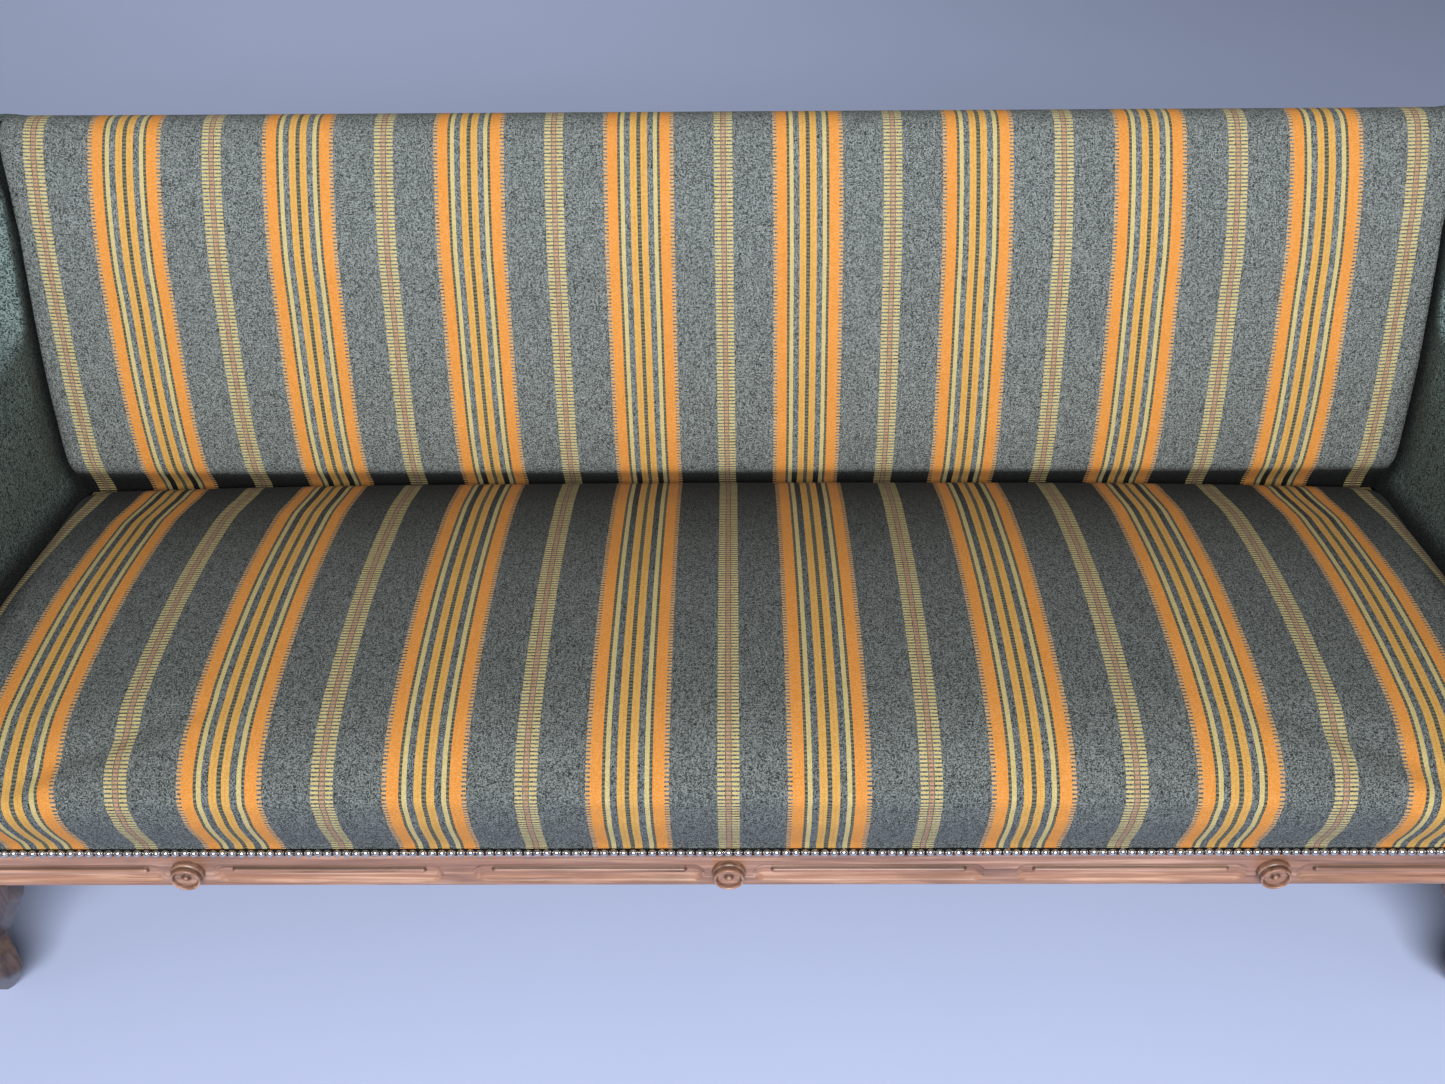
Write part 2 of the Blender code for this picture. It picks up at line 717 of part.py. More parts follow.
def build_seat_hessian():
    """The cloth over the springs, tacked to the tops of the front and rear rails."""
    inner_y = HESSIAN_FRONT_Y + HESSIAN_THICKNESS
    outline = (
        (HESSIAN_FRONT_Y, HESSIAN_REST),
        (HESSIAN_FRONT_Y, hessian_top(HESSIAN_FRONT_Y)),
        (HESSIAN_REAR_Y, hessian_top(HESSIAN_REAR_Y)),
        (HESSIAN_REAR_Y + HESSIAN_TAIL, hessian_top(HESSIAN_REAR_Y)),
        (HESSIAN_REAR_Y + HESSIAN_TAIL, HESSIAN_REST),
        (HESSIAN_REAR_Y, HESSIAN_REST),
        (inner_y, hessian_top(inner_y) - HESSIAN_THICKNESS),
        (inner_y, HESSIAN_REST),
    )
    side_slab("seat_hessian", outline, -SEAT_EDGE_X, SEAT_EDGE_X, "hessian")


def tube_mesh(name, lines, diameter):
    """Closed tubes along lines of points, as one mesh."""
    curve = bpy.data.curves.new(name, "CURVE")
    curve.dimensions = "3D"
    curve.bevel_depth = diameter / 2
    curve.bevel_resolution = 0
    curve.use_fill_caps = True
    for line in lines:
        spline = curve.splines.new("POLY")
        spline.points.add(len(line) - 1)
        for point, spot in zip(spline.points, line):
            point.co = (*spot, 1)
    guide = bpy.data.objects.new(name, curve)
    bpy.context.scene.collection.objects.link(guide)
    bpy.context.view_layer.update()
    graph = bpy.context.evaluated_depsgraph_get()
    mesh = bpy.data.meshes.new_from_object(guide.evaluated_get(graph))
    bpy.data.objects.remove(guide)
    bpy.data.curves.remove(curve)
    bm = bmesh.new()
    bm.from_mesh(mesh)
    bpy.data.meshes.remove(mesh)
    bmesh.ops.remove_doubles(bm, verts=bm.verts, dist=WELD)
    return mesh_of(name, bm)


def coil(x, y, low):
    """A waisted coil, which eases in and out so that its end turns lie along the webbing and the cloth."""
    line = []
    count = SPRING_TURNS * POINTS_PER_TURN
    for i in range(count + 1):
        share = i / count
        angle = 2 * math.pi * SPRING_TURNS * share
        rise = share - math.sin(2 * math.pi * share) / (2 * math.pi)
        radius = SPRING_WAIST + (SPRING_RADIUS - SPRING_WAIST) * math.cos(math.pi * share) ** 2
        along = y + radius * math.sin(angle)
        line.append((x + radius * math.cos(angle), along, low + rise * (spring_top(along) - low)))
    return line


def spring_top(y):
    """Height of the middle of the wire along a coil's top turn, under the sloping hessian."""
    return hessian_top(y) - HESSIAN_THICKNESS - CLEARANCE - SPRING_WIRE / 2


def build_spring_row(name, x):
    """A row of coils from front to rear, standing on a strap and tied along their tops by one wire."""
    low = LEG_HEIGHT + SPRING_WIRE / 2
    ys = [spring_row_y(share) for share in SPRING_ROW_SHARES]
    reach = SPRING_RADIUS + SPRING_WIRE
    ends = [(x, y, spring_top(y)) for y in (ys[0] - reach, ys[-1] + reach)]
    wire = place(name, tube_mesh(name, [ends], SPRING_WIRE), "spring_steel")
    lines = [coil(x, y, low) for y in ys]
    coils = place_cutter(f"{name}_coils", tube_mesh(f"{name}_coils", lines, SPRING_WIRE))
    combine(wire, coils, "UNION")


def stations():
    """Places across the sofa at which the seat's and the back's sections are drawn."""
    return [share * SEAT_EDGE_X for share in STATION_SHARES]


def seat_line(x):
    """The seat cover's outer line at a place across: up the front face, over the crown and down behind."""
    drop = SEAT_SIDE_DROP * math.exp(-(SEAT_EDGE_X - abs(x)) / SEAT_SIDE_REACH)
    line = [(TACK_Y, COVER_BOTTOM), (TACK_Y, TACK_TOP)]
    for along, up, fall in SEAT_SECTION_SHARES:
        line.append((NOSE_Y + along * SEAT_RUN, RAIL_TOP + up * SEAT_RISE - fall * drop))
    return np.array(line)


def back_line(x):
    """The back cover's outer line at a place across: up the front, over the top and down to the lip."""
    set_back = BACK_SIDE_SET * math.exp(-(SEAT_EDGE_X - abs(x)) / BACK_SIDE_REACH)
    line = [
        (BACK_BASE_Y + along * BACK_FRONT_DEPTH + weight * set_back, BACK_BASE_HEIGHT + up * BACK_RISE)
        for along, up, weight in BACK_SECTION_SHARES
    ]
    line.append((line[-1][0], TOP_REST))
    return np.array(line)


def ring(x, *lines):
    return [(x, y, z) for line in lines for y, z in line]


def build_seat_upholstery():
    covers, fillings = [], []
    for x in stations():
        outer = seat_line(x)
        inner = offset(outer, COVER_THICKNESS)
        covers.append(ring(x, outer, inner[::-1]))
        under = offset(outer, COVER_THICKNESS + CLEARANCE)
        # The stuffing starts on the rail's top, so its line begins above the tacked band.
        filling = under[TACKED_POINTS:-TAIL_POINTS]
        front_y = RAIL_FRONT_Y + CLEARANCE
        rear_y = filling[-1][0]
        step_y = HESSIAN_FRONT_Y - CLEARANCE
        base = (
            (front_y, HESSIAN_REST),
            (step_y, HESSIAN_REST),
            (step_y, hessian_top(step_y) + CLEARANCE),
            (rear_y, hessian_top(rear_y) + CLEARANCE),
        )
        fillings.append(ring(x, filling[::-1], base))
    loft("seat_cover", covers, "striped_fabric")
    loft("seat_stuffing", fillings, "stuffing")


def build_back_upholstery():
    covers, fillings = [], []
    for x in stations():
        outer = back_line(x)
        covers.append(ring(x, outer, offset(outer, COVER_THICKNESS)[::-1]))
        under = offset(outer, COVER_THICKNESS + CLEARANCE)
        low = under[0][1]
        base = (
            (before_frame_y(low, STUFFING_REAR), low),
            (before_frame_y(TOP_REST, STUFFING_REAR), TOP_REST),
        )
        fillings.append(ring(x, under[::-1], base))
    loft("back_cover", covers, "striped_fabric")
    loft("back_stuffing", fillings, "stuffing")


def build_back_webbing():
    low = LOWER_BACK_RAIL_BOTTOM + STRAP_MARGIN
    high = FRAME_TOP - STRAP_MARGIN
    lean = math.cos(FRAME_LEAN)
    end = SEAT_EDGE_X - BACK_STRAP_END + STRAP_WIDTH / 2
    webbing = lattice(
        "back_webbing",
        [float(x) for x in np.linspace(-end, end, BACK_STRAPS)],
        [share * (high - low) / lean for share in BACK_STRAP_ROW_SHARES],
        FRAME_OUTER_X - STRAP_MARGIN,
        0,
        (high - low) / lean,
        "webbing",
    )
    webbing.rotation_euler.x = QUARTER_TURN - FRAME_LEAN
    webbing.location = (0, before_frame_y(low, CLEARANCE + STRAP_THICKNESS), low)


def build_back_hessian():
    low = LOWER_BACK_RAIL_BOTTOM + STRAP_MARGIN
    high = FRAME_TOP - STRAP_MARGIN
    near = 2 * CLEARANCE + STRAP_THICKNESS
    far = near + BACK_HESSIAN_THICKNESS
    outline = (
        (before_frame_y(low, far), low),
        (before_frame_y(low, near), low),
        (before_frame_y(high, near), high),
        (before_frame_y(high, far), high),
    )
    side_slab("back_hessian", outline, -SEAT_EDGE_X, SEAT_EDGE_X, "hessian")


def arm_line():
    """The arm's edge from the nail line up the front, along the armrest and over the wing.

    The wing's height is where its front and top edges would meet if they weren't rounded.
    """
    wing_foot = BACK_Y - WING_DEPTH
    return rounded(
        (
            (TACK_Y, COVER_BOTTOM, 0),
            (TACK_Y, TACK_TOP, 0),
            (RAIL_FRONT_Y - ARM_FRONT_PAD, ARM_HEIGHT, ARM_FRONT_RADIUS),
            (wing_foot, ARM_HEIGHT, WING_FOOT_RADIUS),
            (wing_foot + WING_SLOPE_RUN, WING_HEIGHT, WING_TOP_RADIUS),
            (BACK_Y, WING_HEIGHT - WING_REAR_FALL, WING_REAR_RADIUS),
            (BACK_Y, TOP_REST, 0),
        )
    )


def close_behind(line):
    """An arm outline closed over the top back rail and down in front of the back frame."""
    return [
        *line,
        (before_frame_y(TOP_REST, ARM_REAR), TOP_REST),
        (before_frame_y(HESSIAN_REST, ARM_REAR), HESSIAN_REST),
    ]


def build_arm(side):
    name = side_name(side)
    edge = arm_line()
    inside_x = ARM_INNER_X
    panel_x = inside_x + INSIDE_ARM_THICKNESS
    boxing_x = panel_x + CLEARANCE
    lap_y = RAIL_FRONT_Y - CLEARANCE

    outline = close_behind(edge) + [(lap_y, HESSIAN_REST), (lap_y, COVER_BOTTOM)]
    side_slab(f"{name}_inside_arm_cover", outline, side * inside_x, side * panel_x, "green_fabric")

    boxing = [*edge, *offset(edge, COVER_THICKNESS)[::-1]]
    side_slab(f"{name}_arm_boxing", boxing, side * boxing_x, side * FRAME_OUTER_X, "green_fabric")

    # The stuffing stands on the rail, so its front starts where the edge passes the rail's top.
    tack, above, *under = offset(edge, COVER_THICKNESS + CLEARANCE)[1:]
    foot_y = np.interp(HESSIAN_REST, (tack[1], above[1]), (tack[0], above[0]))
    filling = close_behind([(foot_y, HESSIAN_REST), above, *under])
    filling_x = FRAME_INNER_X - CLEARANCE
    side_slab(f"{name}_arm_stuffing", filling, side * boxing_x, side * filling_x, "stuffing")

    hem = LEG_HEIGHT + OUTSIDE_HEM_RISE
    outline = [*edge, (back_face_y(hem), hem), (TACK_Y, hem)]
    outer_x = side * OVERALL_WIDTH / 2
    inner_x = outer_x - side * OUTSIDE_COVER_THICKNESS
    side_slab(f"{name}_outside_arm_cover", outline, inner_x, outer_x, "green_fabric")


def build_arm_frame(side):
    name = side_name(side)
    near_x, far_x = side * FRAME_INNER_X, side * FRAME_OUTER_X
    rail_top = ARM_HEIGHT - COVER_THICKNESS - CLEARANCE
    rail_bottom = rail_top - ARM_RAIL_HEIGHT
    post_front = RAIL_FRONT_Y
    post = (
        (post_front, HESSIAN_REST),
        (post_front + ARM_POST_DEPTH, HESSIAN_REST),
        (post_front + ARM_POST_DEPTH, rail_bottom - CLEARANCE),
        (post_front, rail_bottom - CLEARANCE),
    )
    side_slab(f"{name}_arm_post", post, near_x, far_x, "frame_wood")
    rail_front = post_front + ARM_FRONT_RADIUS
    rail = (
        (rail_front, rail_bottom),
        (before_frame_y(rail_bottom, ARM_REAR), rail_bottom),
        (before_frame_y(rail_top, ARM_REAR), rail_top),
        (rail_front, rail_top),
    )
    side_slab(f"{name}_arm_rail", rail, near_x, far_x, "frame_wood")
    low = rail_top + CLEARANCE
    high = WING_HEIGHT - WING_TOP_RADIUS
    slope = WING_SLOPE_RUN / (WING_HEIGHT - ARM_HEIGHT)
    foot = BACK_Y - WING_DEPTH + WING_BOARD_INSET
    board = (
        (foot + slope * (low - ARM_HEIGHT), low),
        (before_frame_y(low, ARM_REAR), low),
        (before_frame_y(high, ARM_REAR), high),
        (foot + slope * (high - ARM_HEIGHT), high),
    )
    side_slab(f"{name}_wing_board", board, near_x, far_x, "frame_wood")


def build_outside_back():
    low = LEG_HEIGHT + OUTSIDE_HEM_RISE
    outline = (
        (back_face_y(low) - OUTSIDE_BACK_THICKNESS, low),
        (back_face_y(low), low),
        (back_face_y(FRAME_TOP), FRAME_TOP),
        (back_face_y(FRAME_TOP) - OUTSIDE_BACK_THICKNESS, FRAME_TOP),
    )
    side_slab("outside_back_cover", outline, -FRAME_OUTER_X, FRAME_OUTER_X, "green_fabric")


def build_sofa():
    build_front_rail()
    build_rosettes()
    build_nail_strip()
    build_back_frame()
    for side in (-1, 1):
        build_front_leg(side)
        build_rear_post(side)
        build_side_rail(side)
        build_corner_block(side, True)
        build_corner_block(side, False)
        build_arm(side)
        build_arm_frame(side)
    build_seat_webbing()
    build_dust_cover()
    for name, x in zip(SPRING_ROWS, seat_strap_xs()[::STRAPS_PER_ROW]):
        build_spring_row(f"{name}_spring_row", x)
    build_seat_hessian()
    build_seat_upholstery()
    build_back_webbing()
    build_back_hessian()
    build_back_upholstery()
    build_outside_back()


build_sofa()
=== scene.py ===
import json
from math import cos, pi, radians, tan

import bmesh
import bpy
import numpy as np
from mathutils import Matrix, Vector


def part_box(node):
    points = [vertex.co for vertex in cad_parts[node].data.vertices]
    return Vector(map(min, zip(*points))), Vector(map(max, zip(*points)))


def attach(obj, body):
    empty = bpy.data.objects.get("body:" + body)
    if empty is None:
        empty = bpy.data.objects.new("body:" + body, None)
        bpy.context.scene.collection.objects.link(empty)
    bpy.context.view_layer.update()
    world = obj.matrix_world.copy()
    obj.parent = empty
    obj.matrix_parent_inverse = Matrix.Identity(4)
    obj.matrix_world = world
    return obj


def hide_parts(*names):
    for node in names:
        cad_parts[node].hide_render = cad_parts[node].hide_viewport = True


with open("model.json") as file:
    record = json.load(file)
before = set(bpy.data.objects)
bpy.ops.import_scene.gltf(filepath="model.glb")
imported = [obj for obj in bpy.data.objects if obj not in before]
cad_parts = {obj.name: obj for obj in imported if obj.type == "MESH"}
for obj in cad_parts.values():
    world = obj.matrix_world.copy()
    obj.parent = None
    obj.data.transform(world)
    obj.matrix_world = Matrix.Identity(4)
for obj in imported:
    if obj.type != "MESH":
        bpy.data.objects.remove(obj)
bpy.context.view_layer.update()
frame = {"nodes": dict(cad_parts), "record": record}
scene = bpy.context.scene
print("frame loaded")

# Camera: the photograph's view, found from the even stripes of the cloth
cameraSettings = {
    "place": (0.0103, -1.4631, 1.6508),
    "tilt": radians(50.26),  # 0 would look straight down
    "turn": radians(0.71),
    "roll": radians(-0.648),
    "lens": 37.61,
    "sensor": 36,
}


# The view's matrix: its place, its turn about the upright, its tilt, and its roll about the line of sight
def makeCamera(settings):
    data = bpy.data.cameras.new("photoView")
    data.sensor_width = settings["sensor"]
    data.lens = settings["lens"]
    camera = bpy.data.objects.new("photoView", data)
    scene.collection.objects.link(camera)
    camera.matrix_world = (
        Matrix.Translation(settings["place"])
        @ Matrix.Rotation(settings["turn"], 4, "Z")
        @ Matrix.Rotation(settings["tilt"], 4, "X")
        @ Matrix.Rotation(settings["roll"], 4, "Z")
    )
    scene.camera = camera


makeCamera(cameraSettings)


# A colour from 0 to 255 as a screen shows it, made linear for the shader
def tint(red, green, blue, alpha=1.0):
    seen = np.array((red, green, blue)) / 255
    linear = np.where(seen <= 0.04045, seen / 12.92, ((seen + 0.055) / 1.055) ** 2.4)
    return (*linear.tolist(), alpha)


# One socket of a material's nodes; sums on it add Math nodes
class Wire:
    def __init__(self, web, socket):
        self.web = web
        self.socket = socket

    def __add__(self, other):
        return self.web.maths("ADD", self, other)

    def __sub__(self, other):
        return self.web.maths("SUBTRACT", self, other)

    def __rsub__(self, other):
        return self.web.maths("SUBTRACT", other, self)

    def __mul__(self, other):
        return self.web.maths("MULTIPLY", self, other)

    def __truediv__(self, other):
        return self.web.maths("DIVIDE", self, other)

    __radd__ = __add__
    __rmul__ = __mul__


# A material and its nodes
class Web:
    def __init__(self, name, constants):
        self.material = bpy.data.materials.new(name)
        self.material.use_nodes = True
        self.tree = self.material.node_tree
        self.shader = self.tree.nodes["Principled BSDF"]
        self.feed(self.shader, constants)

    # Any node: its type, its settings, then the values or links of its sockets
    def add(self, kind, settings=None, sockets=None, output=0):
        node = self.tree.nodes.new("ShaderNode" + kind)
        for name, value in (settings or {}).items():
            if name == "stops":
                self.setStops(node.color_ramp, *value)
            else:
                setattr(node, name, value)
        self.feed(node, sockets or {})
        return Wire(self, node.outputs[output])

    # A wire is linked to its socket, and a plain value is set on it
    def feed(self, node, sockets):
        for name, value in sockets.items():
            if isinstance(value, Wire):
                self.tree.links.new(value.socket, node.inputs[name])
            else:
                node.inputs[name].default_value = value

    # A new ramp has two stops: they take the ends, and the rest come between
    def setStops(self, ramp, interpolation, stops):
        ramp.interpolation = interpolation
        ends = (stops[0], stops[-1])
        for element, (position, colour) in zip(ramp.elements, ends):
            element.position = position
            element.color = colour
        for position, colour in stops[1:-1]:
            ramp.elements.new(position).color = colour

    # One sum of plain values or wires, in the order the node takes them
    def maths(self, operation, *values):
        return self.add("Math", {"operation": operation}, dict(enumerate(values)))

    # The same for three numbers at once
    def vectorMaths(self, operation, sockets):
        return self.add("VectorMath", {"operation": operation}, sockets)

    # Another output of the node that a wire comes from
    def other(self, wire, output):
        return Wire(self, wire.socket.node.outputs[output])

    # A place's three numbers as wires
    def split(self, vector):
        first = self.add("SeparateXYZ", {}, {0: vector})
        return first, self.other(first, 1), self.other(first, 2)

    # The first colour at 0 and the second at 1
    def mix(self, factor, first, second):
        return self.add("Mix", {"data_type": "RGBA"}, {0: factor, 6: first, 7: second}, 2)

    # A colour times one number
    def scaled(self, colour, factor):
        return self.vectorMaths("SCALE", {0: colour, "Scale": factor})

    # A place times three numbers, so that a pattern on it narrows
    def stretched(self, vector, scale):
        return self.vectorMaths("MULTIPLY", {0: vector, 1: scale})

    # Cloudy noise around 0.5 with so many lumps to the metre
    def noise(self, vector, scale, detail=2.0, roughness=0.5, distortion=0.0):
        sockets = {"Vector": vector, "Scale": scale, "Detail": detail}
        sockets.update({"Roughness": roughness, "Distortion": distortion})
        return self.add("TexNoise", {}, sockets)

    # A value of its own from 0 to 1 for each cell of the given size
    def cells(self, vector, size):
        whole = self.vectorMaths("FLOOR", {0: self.vectorMaths("DIVIDE", {0: vector, 1: size})})
        return self.add("TexWhiteNoise", {"noise_dimensions": "2D"}, {"Vector": whole}, "Value")

    # 0 below the first value, 1 above the second, eased between them
    def between(self, value, low, high):
        sockets = {"Value": value, "From Min": low, "From Max": high}
        return self.add("MapRange", {"interpolation_type": "SMOOTHSTEP"}, sockets)

    # 0 to 1 and back once in each pitch of a distance
    def wave(self, distance, pitch):
        return self.maths("SINE", distance * (2 * pi / pitch)) * 0.5 + 0.5

    # The place in metres from the sofa's origin
    def objectPlace(self):
        return self.add("TexCoord", {}, {}, "Object")

    # The place on the flat cloth in metres
    def weavePlace(self):
        return self.add("UVMap", {"uv_map": "weave"})

    # A value kept on the mesh's points
    def attribute(self, name):
        return self.add("Attribute", {"attribute_name": name}, {}, "Fac")

    # The shader's colour, its relief as a bump of the given depth, and its roughness
    def finish(self, colour, height=None, depth=0.0, strength=1.0, roughness=None):
        sockets = {"Base Color": colour}
        if height is not None:
            bump = {"Strength": strength, "Distance": depth, "Height": height}
            sockets["Normal"] = self.add("Bump", {}, bump)
        if roughness is not None:
            sockets["Roughness"] = roughness
        self.feed(self.shader, sockets)
        return self.material


# Covers
yarnSettings = {
    "shader": {"Roughness": 0.92, "Sheen Weight": 0.02, "Sheen Roughness": 0.45, "Specular IOR Level": 0.15},
    "warpDash": (0.0010, 0.0018, 1.0),  # width and length of a short pale or dark dash along the cloth
    "weftDash": (0.0020, 0.0010, 1.0),  # and across it
    "twillPitch": 0.0026,
    "ribPitch": 0.0032,
    "depth": 0.0006,
}

# The fourth number of a yarn's colour is how strongly it is flecked
stripeSettings = {
    "repeat": 0.215,
    "green": tint(78, 85, 84, 0.8),
    "orange": tint(226, 148, 58, 0.15),
    "gold": tint(220, 168, 78, 0.18),
    "ochre": tint(214, 152, 68, 0.18),
    "lime": tint(212, 192, 126, 0.22),
    "teeth": tint(220, 164, 98, 0.2),
    "dark": tint(48, 50, 42, 0.3),
    "darkPale": tint(120, 114, 80, 0.3),
    "core": tint(206, 158, 120, 0.3),
    "coreDark": tint(132, 104, 78, 0.3),
    "bands": (  # start in repeats from the middle of a wide group, then the yarn beside a rung and on it
        (0.0, "dark", "darkPale"), (0.0085, "gold", "gold"), (0.0235, "ochre", "ochre"),
        (0.0300, "gold", "gold"), (0.0475, "green", "green"), (0.0845, "lime", "lime"),
        (0.1070, "dark", "darkPale"), (0.1250, "orange", "orange"), (0.1800, "teeth", "green"),
        (0.2060, "green", "green"), (0.4420, "lime", "green"), (0.4810, "dark", "darkPale"),
        (0.4850, "core", "coreDark"),
    ),
    "rungPitch": 0.0048,
    "rungShare": 0.58,
    "jag": 0.005,  # wander of the bands' edges, in repeats
    "flecks": (tint(4, 9, 11), tint(155, 162, 160)),
    "shade": (0.86, 0.12, 0.1, 9.0),  # plain level, shares of flecks and twill, scale of the patches
}

greenSettings = {
    "base": tint(62, 76, 75),
    "flecked": 0.9,
    "flecks": (tint(4, 9, 10), tint(134, 154, 152)),
    "shade": (0.9, 0.0, 0.08, 8.0),
    "coarseness": (0.72, 0.72, 1.0),
    # how strongly painted shade darkens the plain cover
    "clothShadeStrength": 0.55,
}


# The yarns' own relief: dashes along both threads, a diagonal twill and soft ribs across. A dash is a cell
# of the weave with a value of its own, softened by fine noise
def yarnRelief(web, place, settings):
    across, along, _ = web.split(place)
    warp = web.cells(place, settings["warpDash"])
    weft = web.cells(place, settings["weftDash"])
    fine = web.between(web.noise(place, 800.0, 1.0), 0.3, 0.7)
    streak = web.noise(web.stretched(place, (1.0, 0.14, 1.0)), 260.0, 1.0)
    flecks = web.between(warp * 0.38 + weft * 0.30 + fine * 0.32 + (streak - 0.5) * 0.18, 0.15, 0.85)
    twill = web.wave(across * 0.8 + along, settings["twillPitch"])
    return flecks, twill, web.wave(along, settings["ribPitch"])


# A cover's colour: its yarn, flecked, then shaded by the relief and by broad patches, and darkened by painted
# shade from a value kept on the mesh
def finishCover(web, place, relief, yarn, flecked, clothShadeStrength, settings):
    flecks, twill, ribs = relief
    plain, byFlecks, byTwill, patchScale = settings["shade"]
    colour = web.mix(flecked, yarn, web.mix(flecks, *settings["flecks"]))
    patches = web.noise(place, patchScale, 2.0)
    shade = plain + flecks * byFlecks + twill * byTwill + ribs * 0.05 + (patches - 0.5) * 0.16
    # Painted shade: darker where the value kept on the mesh is higher
    colour = web.scaled(colour, shade * (1.0 - web.attribute("paintedClothShade") * clothShadeStrength))
    return web.finish(colour, flecks * 0.5 + twill * 0.3 + ribs * 0.25, yarnSettings["depth"], 0.5)


# Stripes: the distance from the middle of a wide group picks the band, and the distance along it the rungs
def makeStripes(settings):
    web = Web("striped_fabric", yarnSettings["shader"])
    place = web.weavePlace()
    across, along, _ = web.split(place)
    jag = (web.noise(place, 500.0, 1.0) - 0.5) * settings["jag"]
    band = web.maths("ABSOLUTE", web.maths("FRACT", across / settings["repeat"]) - 0.5) + jag
    rung = web.maths("GREATER_THAN", web.maths("FRACT", along / settings["rungPitch"]), settings["rungShare"])

    def bands(column):
        stops = [(row[0], settings[row[column]]) for row in settings["bands"]]
        return web.add("ValToRGB", {"stops": ("CONSTANT", stops)}, {0: band})

    beside, on = bands(1), bands(2)
    flecked = web.other(beside, 1) + rung * (web.other(on, 1) - web.other(beside, 1))
    relief = yarnRelief(web, place, yarnSettings)
    # How strongly painted shade darkens each yarn, more for the flecked ones
    clothShadeStrength = 0.18 + flecked * 0.36
    return finishCover(web, place, relief, web.mix(rung, beside, on), flecked, clothShadeStrength, settings)


# The plain cover: the same yarn without stripes, a little coarser
def makeGreen(settings):
    web = Web("green_fabric", yarnSettings["shader"])
    place = web.weavePlace()
    relief = yarnRelief(web, web.stretched(place, settings["coarseness"]), yarnSettings)
    base, flecked, clothShadeStrength = settings["base"], settings["flecked"], settings["clothShadeStrength"]
    return finishCover(web, place, relief, base, flecked, clothShadeStrength, settings)


# Woods, metals and coarse cloths
beech = {"dark": tint(164, 122, 84), "middle": tint(196, 156, 112), "pale": tint(216, 182, 140)}
woodSettings = {
    "rail_wood": {
        "dark": tint(84, 52, 36),
        "middle": tint(147, 106, 85),
        "pale": tint(190, 149, 125),
        "stretch": (5.0, 150.0, 150.0),  # the grain runs across the sofa
    },
    "leg_wood": {
        "dark": tint(26, 17, 15),
        "middle": tint(56, 40, 34),
        "pale": tint(82, 62, 54),
        "stretch": (120.0, 120.0, 6.0),
    },
    "frame_wood": {**beech, "stretch": (2.5, 50.0, 50.0)},
    "post_wood": {**beech, "stretch": (50.0, 50.0, 2.5), "stain": tint(112, 76, 60), "stainTop": 0.262},
}
metalSettings = {
    "nickel": {"bright": tint(206, 202, 198), "dull": tint(128, 122, 118), "rough": 0.22, "scale": 260.0},
    "spring_steel": {"bright": tint(150, 135, 122), "dull": tint(98, 76, 62), "rough": 0.4, "scale": 90.0},
}
coarseSettings = {
    "webbing": {"pale": tint(192, 168, 126), "dark": tint(120, 98, 66), "pitch": 0.0022},
    "hessian": {"pale": tint(178, 148, 104), "dark": tint(96, 76, 48), "pitch": 0.0026},
    "dust_cloth": {"pale": tint(42, 42, 44), "dark": tint(22, 22, 24), "pitch": 0.0012},
}


# Wood: noise drawn out along the grain picks dark to pale, fine pores darken it, and a value kept on the mesh
# darkens recesses, with old wax and painted shade, and lightens other faces, with a painted highlight on the
# rail's lit lower flank
def makeWood(name, settings):
    web = Web(name, {"Coat Weight": 0.3, "Coat Roughness": 0.22})
    place = web.objectPlace()
    drawn = web.stretched(place, settings["stretch"])
    grain = web.noise(drawn, 1.0, 6.0, 0.6, 0.6)
    pores = web.between(web.noise(web.stretched(drawn, (3.0, 7.0, 7.0)), 1.0, 3.0, 0.7), 0.56, 0.70)
    cloud = web.noise(place, 7.0, 2.0)
    stops = ((0.30, settings["dark"]), (0.47, settings["middle"]), (0.66, settings["pale"]))
    colour = web.add("ValToRGB", {"stops": ("EASE", stops)}, {0: grain * 0.75 + cloud * 0.25})
    if "stain" in settings:
        _, _, height = web.split(place)
        stained = 1.0 - web.between(height, settings["stainTop"], settings["stainTop"] + 0.012)
        colour = web.mix(stained * 0.85, colour, settings["stain"])
    waxAndPaintedLight = web.attribute("waxAndPaintedLight")
    waxAndShade = web.between(waxAndPaintedLight, 0.02, 1.0)
    lightened = web.between(waxAndPaintedLight * -1.0, 0.02, 1.0)
    smoke = web.between(web.noise(web.stretched(place, (9.0, 30.0, 30.0)), 1.0, 3.0), 0.48, 0.66)
    colour = web.scaled(colour, (1.0 - pores * 0.34) * (1.0 - smoke * 0.22))
    # Recesses darker with wax and painted shade, and some faces lighter, the rail's lower flank as a painted
    # highlight
    colour = web.scaled(colour, (1.0 - waxAndShade * 0.72) * (1.0 + lightened * 0.4))
    rough = 0.36 + pores * 0.2 + waxAndShade * 0.25 + (grain - 0.5) * 0.15
    return web.finish(colour, grain * 0.5 - pores * 0.6, 0.0005, 0.35, rough)


# Metal: noise varies the polish and dulls the colour a little, and painted shade from a value kept on the
# mesh darkens and roughens it: the nails' lower halves and the strip behind them
def makeMetal(name, settings):
    web = Web(name, {"Metallic": 1.0})
    worn = web.noise(web.objectPlace(), settings["scale"], 3.0, 0.6)
    colour = web.mix(web.between(worn, 0.4, 0.7) * 0.6, settings["bright"], settings["dull"])
    paintedShade = web.attribute("waxAndPaintedLight")
    rough = settings["rough"] + paintedShade * 0.5 + (worn - 0.5) * 0.25
    return web.finish(web.scaled(colour, 1.0 - paintedShade * 0.97), worn, 0.0001, 0.3, rough)


